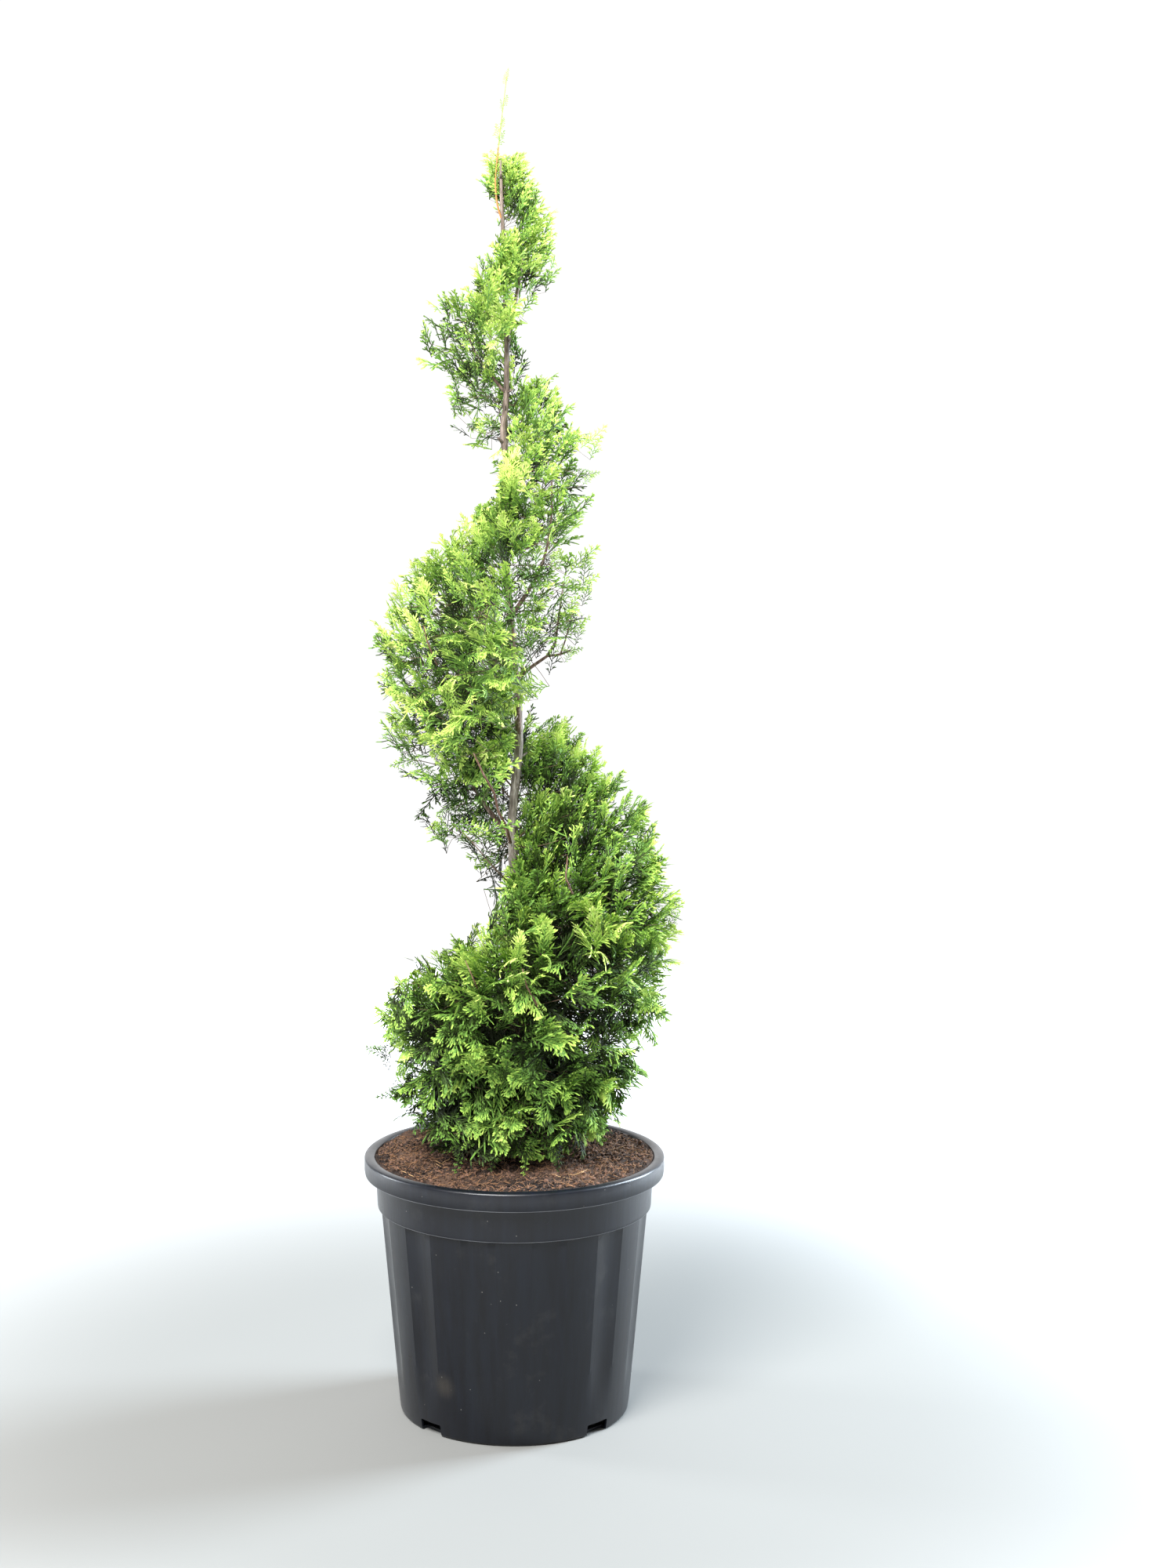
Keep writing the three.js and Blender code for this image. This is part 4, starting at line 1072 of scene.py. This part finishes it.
def is_open(mass, points):
    """True where all points of a spray keep within the crown's reach and out of the trunk and the peat."""
    near = (mass["from"] + mass["to"]) / 2
    for point in points:
        turn, radius = crown_place(point, near)
        if radius > reach(turn, point.z, PROUD, HANGING) or radius < trunk_radius(point.z) + 3 * MM:
            return False
        if point.z < SPRAY_FLOOR:
            return False
    return True


FOLIAGE_COLOURS = [  # from the oldest growth to the youngest, and from painted shade to painted light
    ("shaded_scale_leaf", "#1a220d"), ("old_scale_leaf", "#384c1e"), ("green_scale_leaf", "#608537"),
    ("fresh_scale_leaf", "#93b54f"), ("lime_scale_leaf", "#b9d266"), ("new_tip_scale_leaf", "#d2e184"),
]
TONE_ROWS = [(0.34, -0.45), (0.48, -0.05), (0.90, 1.05), (1.20, 1.15)]  # height and tone of its old growth
# How far each thing moves a spray's tone: its depth and its facing up paint in shade and light, partly as
# real older and younger growth.
TONE_SHARES = {"depth_light": 2.3, "upturn_light": 0.5, "chance": 0.6, "patch": 1.2}
SHADED_DEPTH = 0.058
PATCH_SIZE = 60 * MM
DETAIL_DEPTH = 0.024  # sprays that end deeper than this have flat fingers


def spray_tone(spray):
    """Tone of a spray from 0, old and shaded, to 5, new and sunlit: partly its age, partly painted shade and
    light.
    """
    # Painted shade, partly real older growth: the deeper a spray ends in the crown, the darker it is.
    depth_light = 1 - min(spray["depth"] / SHADED_DEPTH, 1)
    patch = noise.noise(spray["root"] / PATCH_SIZE + Vector((7, 0, 0)))
    chance = min(max(spray["chance"], -1.8), 1.5)
    tone = along(TONE_ROWS, spray["height"]) + spray["shift"] + TONE_SHARES["depth_light"] * depth_light
    # Painted light, partly real young growth: upturned sprays near the face are lighter.
    tone += TONE_SHARES["upturn_light"] * spray["up"] * depth_light
    return tone + TONE_SHARES["chance"] * chance + TONE_SHARES["patch"] * patch


def placed(arrays, spray):
    """A spray's arrays moved to its place."""
    rows = np.array([spray["direction"], spray["across"], spray["direction"].cross(spray["across"])])
    corners, faces = arrays
    return (corners * spray["scale"]) @ rows + np.array(spray["root"]), faces


STRAY_PARTS = [(0.0, 0.0), (0.35, 0.6), (0.55, -0.7)]  # how far back each spray is, and how far it turns
STRAY_SHOOTS = [  # mass, where the shoot leaves the clipped face and where it ends
    ("upper_right", (0.080, -0.03, 1.163), (0.114, -0.03, 1.188)),
    ("upper_right", (0.078, -0.04, 1.128), (0.102, -0.04, 1.137)),
    ("lower_right", (0.176, -0.03, 0.596), (0.207, -0.03, 0.612)),
    ("lower_left", (-0.148, -0.02, 0.425), (-0.181, -0.02, 0.436)),
    ("lower_left", (-0.132, -0.03, 0.390), (-0.162, -0.04, 0.376)),
    ("upper_left", (-0.118, -0.01, 0.790), (-0.148, -0.01, 0.772)),
    ("upper_right", (0.056, -0.01, 0.914), (0.082, -0.01, 0.924)),
    ("upper_right", (0.062, 0.00, 0.935), (0.090, 0.00, 0.962)),
    ("upper_right", (0.052, 0.01, 0.945), (0.076, 0.01, 0.985)),
    ("upper_right", (0.070, -0.01, 0.985), (0.102, -0.01, 1.012)),
    ("upper_right", (0.066, 0.01, 1.010), (0.098, 0.01, 1.050)),
    ("upper_left", (-0.058, -0.05, 0.758), (0.002, -0.055, 0.796)),
    ("upper_left", (-0.054, -0.05, 0.690), (0.000, -0.05, 0.722)),
    ("lower_front", (-0.056, -0.098, 0.350), (-0.064, -0.118, 0.314)),
    ("lower_front", (-0.022, -0.104, 0.350), (-0.020, -0.122, 0.316)),
    ("lower_front", (0.014, -0.104, 0.352), (0.018, -0.124, 0.314)),
    ("lower_front", (0.048, -0.098, 0.352), (0.058, -0.114, 0.315)),
    ("crest_left", (-0.018, -0.02, 1.378), (-0.038, -0.02, 1.396)),
    ("crest_right", (0.020, -0.01, 1.412), (0.049, -0.01, 1.430)),
]


def stray_sprays(foot, tip, draw):
    """The sprays of a long shoot that the shears missed: one at its end and one to each side."""
    foot, tip = Vector(foot), Vector(tip)
    run = tip - foot
    sprays = []
    for back, side in STRAY_PARTS:
        direction = Matrix.Rotation(side, 3, (0, -1, 0)) @ run.normalized()
        template = draw.choice(LACE_TEMPLATES)
        scale = run.length * mix(1.0, 0.6, abs(side)) / template["length"]
        root = tip - run * back - direction * template["length"] * scale
        across = Matrix.Rotation(draw.uniform(-0.5, 0.5), 3, direction) @ Vector((0, -1, 0)).cross(direction)
        sprays.append({"root": root, "direction": direction, "across": across, "scale": scale,
                       "template": template, "depth": 0.015, "height": root.z, "up": 0.0, "shift": -0.4,
                       "chance": draw.gauss(0, 1)})
    return sprays


masses = mass_list()
for mass in masses:
    mass["sprays"] = mass_sprays(mass)
stray_draw = random.Random(3)
for name, foot, tip in STRAY_SHOOTS:
    next(mass for mass in masses if mass["name"] == name)["sprays"] += stray_sprays(foot, tip, stray_draw)

# Living scale leaves, waxy but tiny, so that their gloss only softens each spray's plain colour.
leaf_materials = [plain_material(name, colour, 0.6, **{"IOR": 1.42, "Specular IOR Level": 0.2})
                  for name, colour in FOLIAGE_COLOURS]

for level in LEVELS:
    groups = {}
    nodes = []
    for mass in masses:
        if mass["level"] != level:
            continue
        nodes.append(f"foliage_{mass['name']}")
        for spray in mass["sprays"]:
            tone = spray_tone(spray)
            detail = spray["template"]["full" if spray["depth"] < DETAIL_DEPTH else "plain"]
            for layer, arrays in detail.items():
                index = min(max(round(tone + LAYERS[layer]), 0), len(leaf_materials) - 1)
                groups.setdefault(index, []).append(placed(arrays, spray))
    for index, parts in sorted(groups.items()):
        name = f"sprays_{level}_{FOLIAGE_COLOURS[index][0]}"
        piece = joined(name, parts, leaf_materials[index])
        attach(piece, "root")
        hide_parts(*nodes)


# ---------------------------------------------------------------- boughs and twigs
# Each mass hangs on a bough that leaves the trunk and forks into twigs, down to the rib of every spray.
# The bark is grey-brown and rough on the boughs, thin and brown on the twigs, and redder on a few of them.
TWIG_TIP = 0.38 * MM
TWIG_SWELL = 0.34  # a twig thickens with the number of sprays it carries, to this power
TWIG_STEP = 17 * MM  # spacing of the points along a twig
TWIG_SAG = 0.07
TWIG_SLENDER = {"share": (1, 0.5), "heights": (0.9, 1.4)}  # all twigs are thinner higher up
THIN_TWIG = 0.8 * MM  # radius up to which a twig has three sides, before it has four
BOUGH_LEAST = 1.25 * MM  # radius from which its bark is rough
BOUGH_SIDES = 8
BOUGH_RELIEF = 0.3
BOUGH_ROWS = 7  # points along each mass's own bough, and along the stem that goes on from it
STEM_ROWS = 5
BOUGH_POINTS = BOUGH_ROWS + STEM_ROWS - 1
RUNG = {"gap": 0.045, "least": 0.09, "length": 0.022}  # twigs may also start on the trunk within a mass
TURNING_BACK = 0.55  # what it costs a twig to run back inwards, and to run far from the trunk
RUNNING_FAR = 0.3
BARE_BOUGHS = [  # boughs and a stem that show bare between the masses, each stretch with its end radii
    ([(0.004, 0, 0.884), (0.020, -0.004, 0.897), (0.040, -0.007, 0.911), (0.056, -0.008, 0.913),
      (0.068, -0.008, 0.918)], (2.7 * MM, 1.1 * MM)),
    ([(0.040, -0.007, 0.911), (0.050, -0.006, 0.927), (0.054, -0.004, 0.958), (0.060, -0.003, 1.000)],
     (1.8 * MM, 0.8 * MM)),
    ([(0.056, -0.008, 0.913), (0.062, -0.004, 0.930), (0.070, -0.003, 0.960)], (1.2 * MM, 0.6 * MM)),
    ([(-0.007, -0.004, 1.305), (0.000, -0.016, 1.335), (0.006, -0.028, 1.365), (0.010, -0.034, 1.392)],
     (2.8 * MM, 1.4 * MM)),
    ([(-0.008, -0.008, 0.636), (-0.026, -0.016, 0.656), (-0.044, -0.022, 0.678), (-0.060, -0.026, 0.697)],
     (1.2 * MM, 0.5 * MM)),
]
RUSSET_TWIGS = [  # stretches of younger wood that show on the clipped face, with their end radii
    ([(-0.005, -0.008, 0.684), (-0.009, -0.024, 0.704), (-0.019, -0.042, 0.726), (-0.024, -0.060, 0.750),
      (-0.037, -0.076, 0.775), (-0.048, -0.084, 0.800)], (2.0 * MM, 0.9 * MM)),
    ([(0.033, -0.164, 0.504), (0.024, -0.173, 0.524), (0.015, -0.178, 0.541), (0.010, -0.180, 0.562)],
     (1.3 * MM, 0.7 * MM)),
    ([(-0.090, -0.106, 0.905), (-0.097, -0.115, 0.922), (-0.103, -0.116, 0.938), (-0.106, -0.112, 0.952)],
     (1.2 * MM, 0.6 * MM)),
    ([(-0.040, -0.152, 0.530), (-0.047, -0.160, 0.548), (-0.056, -0.158, 0.568)], (1.1 * MM, 0.5 * MM)),
    ([(0.068, -0.140, 0.642), (0.060, -0.150, 0.662), (0.062, -0.148, 0.686)], (1.2 * MM, 0.6 * MM)),
]


def grow_twigs(mass):
    """Joins a mass's spray roots to its bough and trunk, nearest first, as points with their parents."""
    start, end, goal = bough_route(mass)
    bow = start.lerp(end, 0.5) - Vector((0, 0, 0.06 * (end - start).length))
    onward = (end - bow).normalized()
    stem = curve_points(end, end + onward * 0.4 * (goal - end).length, goal, STEM_ROWS)
    points = curve_points(start, bow, end, BOUGH_ROWS) + stem[1:]
    parents = list(range(-1, len(points) - 1))
    lengths = [0.0]
    for a, b in zip(points, points[1:]):
        lengths.append(lengths[-1] + (b - a).length)
    low, high = span(mass, (mass["from"] + mass["to"]) / 2)
    rungs = int((high - low) / RUNG["gap"]) if high - low > RUNG["least"] else 0
    for i in range(rungs):
        points.append(smooth_axis(mix(low + 5 * MM, high - 35 * MM, (i + 0.5) / rungs)))
        parents.append(-1)
        lengths.append(RUNG["length"])
    roots = sorted((spray["root"] for spray in mass["sprays"]),
                   key=lambda point: math.hypot(point.x - axis(point.z).x, point.y - axis(point.z).y))
    for root in roots:
        places = np.array(points)
        run = np.array(root) - places
        distance = np.linalg.norm(run, axis=1) + 1e-9
        away = places - np.array([axis(z)[:] for z in places[:, 2]])
        away[:, 2] += 0.02
        away /= np.linalg.norm(away, axis=1, keepdims=True) + 1e-9
        against = 1 - (run * away).sum(axis=1) / distance
        cost = distance * (1 + TURNING_BACK * against) + RUNNING_FAR * np.array(lengths)
        near = int(np.argmin(cost))
        gap = float(distance[near])
        steps = max(int(gap / TWIG_STEP), 1)
        first = points[near]
        sag = Vector((0, 0, -TWIG_SAG * gap))
        for step in range(1, steps + 1):
            share = step / steps
            parents.append(near)
            points.append(first.lerp(root, share) + sag * 4 * share * (1 - share))
            lengths.append(lengths[near] + gap / steps)
            near = len(points) - 1
    return points, parents


def ease_twigs(points, parents):
    """Eases the bends of the twigs, leaving the bough's own points and the twigs' ends in place."""
    heirs = {}
    for i, parent in enumerate(parents):
        heirs.setdefault(parent, i)
    for _ in range(3):
        for i in range(BOUGH_POINTS, len(points)):
            if parents[i] >= 0 and i in heirs:
                points[i] = points[i] * 0.5 + (points[parents[i]] + points[heirs[i]]) * 0.25


def limb_chains(points, parents):
    """Splits the twigs into long runs, each with the load of sprays carried at its points."""
    load = [0] * len(points)
    children = [[] for _ in points]
    for i in range(len(points) - 1, -1, -1):
        load[i] = max(load[i], 1) if not children[i] else load[i]
        if parents[i] >= 0:
            children[parents[i]].append(i)
            load[parents[i]] += load[i]
    chains = []
    waiting = [(None, i) for i, parent in enumerate(parents) if parent < 0]
    while waiting:
        origin, i = waiting.pop()
        chain = [i] if origin is None else [origin, i]
        while children[i]:
            ordered = sorted(children[i], key=lambda child: load[child])
            waiting += [(i, child) for child in ordered[:-1]]
            i = ordered[-1]
            chain.append(i)
        if len(chain) > 1:
            chains.append(chain)
    return chains, load


def own_radius(i):
    """Least radius of a mass's own bough and stem at their points; other twigs have none."""
    bough_end = BOUGH_ROWS - 1
    if i <= bough_end:
        return mix(*BOUGH_RADIUS, i / bough_end)
    return mix(*STEM_RADIUS, (i - bough_end) / (STEM_ROWS - 1)) if i < BOUGH_POINTS else 0


def rough_limb(route, radii):
    """A limb with rough bark, drawn from the one stream of chance for all bark."""
    return limb(route, radii, BOUGH_SIDES, BOUGH_RELIEF, bark_draw)


def bare_wood(stretches):
    """Rough limbs along stretches of points that taper from one end radius to the other."""
    return [rough_limb([Vector(point) for point in route],
                       [mix(*ends, i / (len(route) - 1)) for i in range(len(route))])
            for route, ends in stretches]


bough_parts = []
twig_parts = []
bark_draw = random.Random(9)
for mass in masses:
    points, parents = grow_twigs(mass)
    ease_twigs(points, parents)
    chains, load = limb_chains(points, parents)
    for chain in chains:
        slender = mix(*TWIG_SLENDER["share"], smoothstep(points[chain[0]].z, *TWIG_SLENDER["heights"]))
        radii = [max(TWIG_TIP * load[i] ** TWIG_SWELL, own_radius(i)) * slender for i in chain]
        radii[0] = min(radii[0], radii[1] * 1.25)
        route = [points[i] for i in chain]
        if radii[0] > BOUGH_LEAST:
            bough_parts.append(rough_limb(route, radii))
        else:
            twig_parts.append(limb(route, radii, 4 if radii[0] > THIN_TWIG else 3))
bough_parts += bare_wood(BARE_BOUGHS)

bough_bark = stringy_bark("rough_bough_bark", "#30241d", "#665247", "#93857a", 2.2 * MM)
boughs = joined("boughs", bough_parts, bough_bark)
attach(boughs, "root")
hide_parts(*[f"bough_{mass['name']}" for mass in masses])

# Young bark is thin, smooth and a little waxy: a plain brown with a soft sheen.
young_bark = plain_material("thin_young_bark", "#574430", 0.6)
twigs = joined("twigs", twig_parts, young_bark)
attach(twigs, "root")

russet_bark = stringy_bark("thin_russet_bark", "#3f2a20", "#614335", "#8c7160", 2.2 * MM)
russet_twigs = joined("russet_twigs", bare_wood(RUSSET_TWIGS), russet_bark)
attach(russet_twigs, "root")


# ---------------------------------------------------------------- leader
# The season's own shoot, which grows on past the clipped top: a thin pale stem, orange-brown below and
# lime above, with short side sprigs held up along it.
LEADER_ROUTE = [(-0.015, 0, 1.442), (-0.021, -0.003, 1.462), (-0.023, -0.002, 1.492), (-0.019, 0, 1.535),
                (-0.015, 0.001, 1.570), (-0.009, 0.001, 1.619)]
LEADER_RIPE = 0.58  # how far up the stem is orange-brown, as a share of the route
LEADER_GREEN = (0.56, 0.995)  # the pale stretch, which starts inside the brown one
LEADER_SPRIGS = 11
SPRIG_STRETCH = (0.4, 0.975)
SPRIG_TURN = 2.4  # radians round the stem from each sprig to the next


def leader_point(share):
    """A point on a smooth curve through the leader's route."""
    last = len(LEADER_ROUTE) - 1
    i = min(int(share * last), last - 1)
    near = [Vector(LEADER_ROUTE[min(max(k, 0), last)]) for k in range(i - 1, i + 3)]
    return curve_through(*near, share * last - i)


leader_draw = random.Random(19)
ripe_points = [leader_point(LEADER_RIPE * i / 20) for i in range(21)]
ripe_radii = [mix(1.25, 0.95, i / 20) * MM for i in range(21)]
# The shoot's lower bark is just turning from green to wood: orange-brown and smooth.
ripening_bark = plain_material("ripening_shoot_bark", "#a8733a", 0.55)
leader_stem = joined("leader_stem", [limb(ripe_points, ripe_radii, 8)], ripening_bark)
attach(leader_stem, "root")

pale_parts = [limb([leader_point(mix(*LEADER_GREEN, i / 24)) for i in range(25)],
                   [mix(0.85, 0.45, i / 24) * MM for i in range(25)], 6, 0.35, leader_draw)]
for i in range(LEADER_SPRIGS):
    share = mix(*SPRIG_STRETCH, i / (LEADER_SPRIGS - 1)) + 0.02 * math.sin(3 * i)
    root = leader_point(share)
    ahead = (leader_point(min(share + 0.02, 1)) - leader_point(share - 0.02)).normalized()
    angle = i * SPRIG_TURN + leader_draw.uniform(-0.4, 0.4)
    side = Vector((math.cos(angle), 0.5 * math.sin(angle), 0))
    direction = (ahead * 2.4 + side).normalized()
    across = direction.cross(side.cross(direction).normalized()).normalized()
    template = LACE_TEMPLATES[i % len(LACE_TEMPLATES)]
    sprig = {"root": root, "direction": direction, "across": across,
             "scale": mix(0.42, 0.2, share) * leader_draw.uniform(0.6, 1.2)}
    for arrays in template["full"].values():
        pale_parts.append(placed(arrays, sprig))
# Its scale leaves are the year's newest: soft, yellow-green and a little glossy.
pale_leaf = plain_material("pale_leader_scale_leaf", "#8ba73e", 0.5)
leader_leaf = joined("leader_shoot", pale_parts, pale_leaf)
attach(leader_leaf, "root")
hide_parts("leader")


# ---------------------------------------------------------------- studio
# A plain pale floor that runs out of sight, weak light from all round, a large soft light in front and
# above, a cooler one to each side and a weak one behind. The camera is level, at a person's chest height
# and under three metres away.
FLOOR_RADIUS = 3
FLOOR_FADE = (0.45, 2.3)  # where the floor's grey starts and ends, from the pot's middle
SOFT_LIGHTS = [  # name, place, what it aims at, size, watts and colour
    ("key_light", (-0.9, -2.2, 3.1), (0, 0, 0.8), (1.6, 1.6), 300, (1, 1, 1)),
    ("side_light", (2.3, 0.9, 1.5), (0, 0, 0.6), (0.9, 2.2), 265, (0.76, 0.88, 1)),
    ("edge_light", (-2.4, 0.7, 0.9), (0, 0, 0.2), (0.6, 1.4), 60, (0.88, 0.94, 1)),
    ("back_light", (0, 2.8, 1.4), (0, 0, 0.8), (4, 2.6), 45, (1, 1, 1)),
]
CAMERA_PLACE = (0.013, -2.837, 1.05)
CAMERA_LENS = 53.4  # mm, on a sensor 36 mm wide
CAMERA_SHIFT = (0.0325, -0.1545)

floor_shape = bmesh.new()
bmesh.ops.create_circle(floor_shape, cap_ends=True, segments=96, radius=FLOOR_RADIUS)
# Matt pale grey paint round the pot that turns white further out, so no horizon shows: the white is
# painted light, standing in for the lamps' light that falls off with distance.
floor_paint, floor_tree, floor_shader = new_material("pale_floor", Roughness=0.9)
floor_place = add_node(floor_tree, "ShaderNodeTexCoord").outputs["Object"]
floor_run = add_node(floor_tree, "ShaderNodeVectorMath", {"operation": "LENGTH"}, {0: floor_place})
floor_fade = add_node(floor_tree, "ShaderNodeMapRange",
                      {"interpolation_type": "SMOOTHSTEP", "From Min": FLOOR_FADE[0],
                       "From Max": FLOOR_FADE[1]}, {"Value": floor_run.outputs["Value"]})
floor_colour = ramp(floor_tree, floor_fade.outputs[0], [(0, "#7e7e7b"), (1, "#ffffff")])
floor_tree.links.new(floor_colour, floor_shader.inputs["Base Color"])
floor = new_piece("studio_floor", floor_shape, floor_paint)
floor.location.z = -0.5 * MM

world = bpy.data.worlds.new("studio")
world.use_nodes = True
world_tree = world.node_tree
world_tree.nodes.clear()
backdrop = add_node(world_tree, "ShaderNodeBackground", {"Color": (1, 1, 1, 1), "Strength": 1.05})
fill = add_node(world_tree, "ShaderNodeBackground", {"Color": (0.96, 0.98, 1, 1), "Strength": 0.42})
seen = add_node(world_tree, "ShaderNodeLightPath")
studio_air = add_node(world_tree, "ShaderNodeMixShader",
                      links={0: seen.outputs["Is Camera Ray"], 1: fill.outputs[0], 2: backdrop.outputs[0]})
add_node(world_tree, "ShaderNodeOutputWorld", links={"Surface": studio_air.outputs[0]})
bpy.context.scene.world = world

for name, place, aim, size, power, tint in SOFT_LIGHTS:
    data = bpy.data.lights.new(name, "AREA")
    data.shape = "RECTANGLE"
    data.size, data.size_y = size
    data.energy = power
    data.color = tint
    light = bpy.data.objects.new(name, data)
    light.location = place
    light.visible_camera = False
    light.rotation_euler = (Vector(aim) - Vector(place)).to_track_quat("-Z", "Y").to_euler()
    bpy.context.collection.objects.link(light)

camera_data = bpy.data.cameras.new("camera")
camera_data.lens = CAMERA_LENS
camera_data.sensor_width = 36
camera_data.shift_x, camera_data.shift_y = CAMERA_SHIFT
camera = bpy.data.objects.new("camera", camera_data)
camera.location = CAMERA_PLACE
camera.rotation_euler = (math.radians(90), 0, 0)
bpy.context.collection.objects.link(camera)
bpy.context.scene.camera = camera
bpy.context.scene.view_settings.view_transform = "Standard"
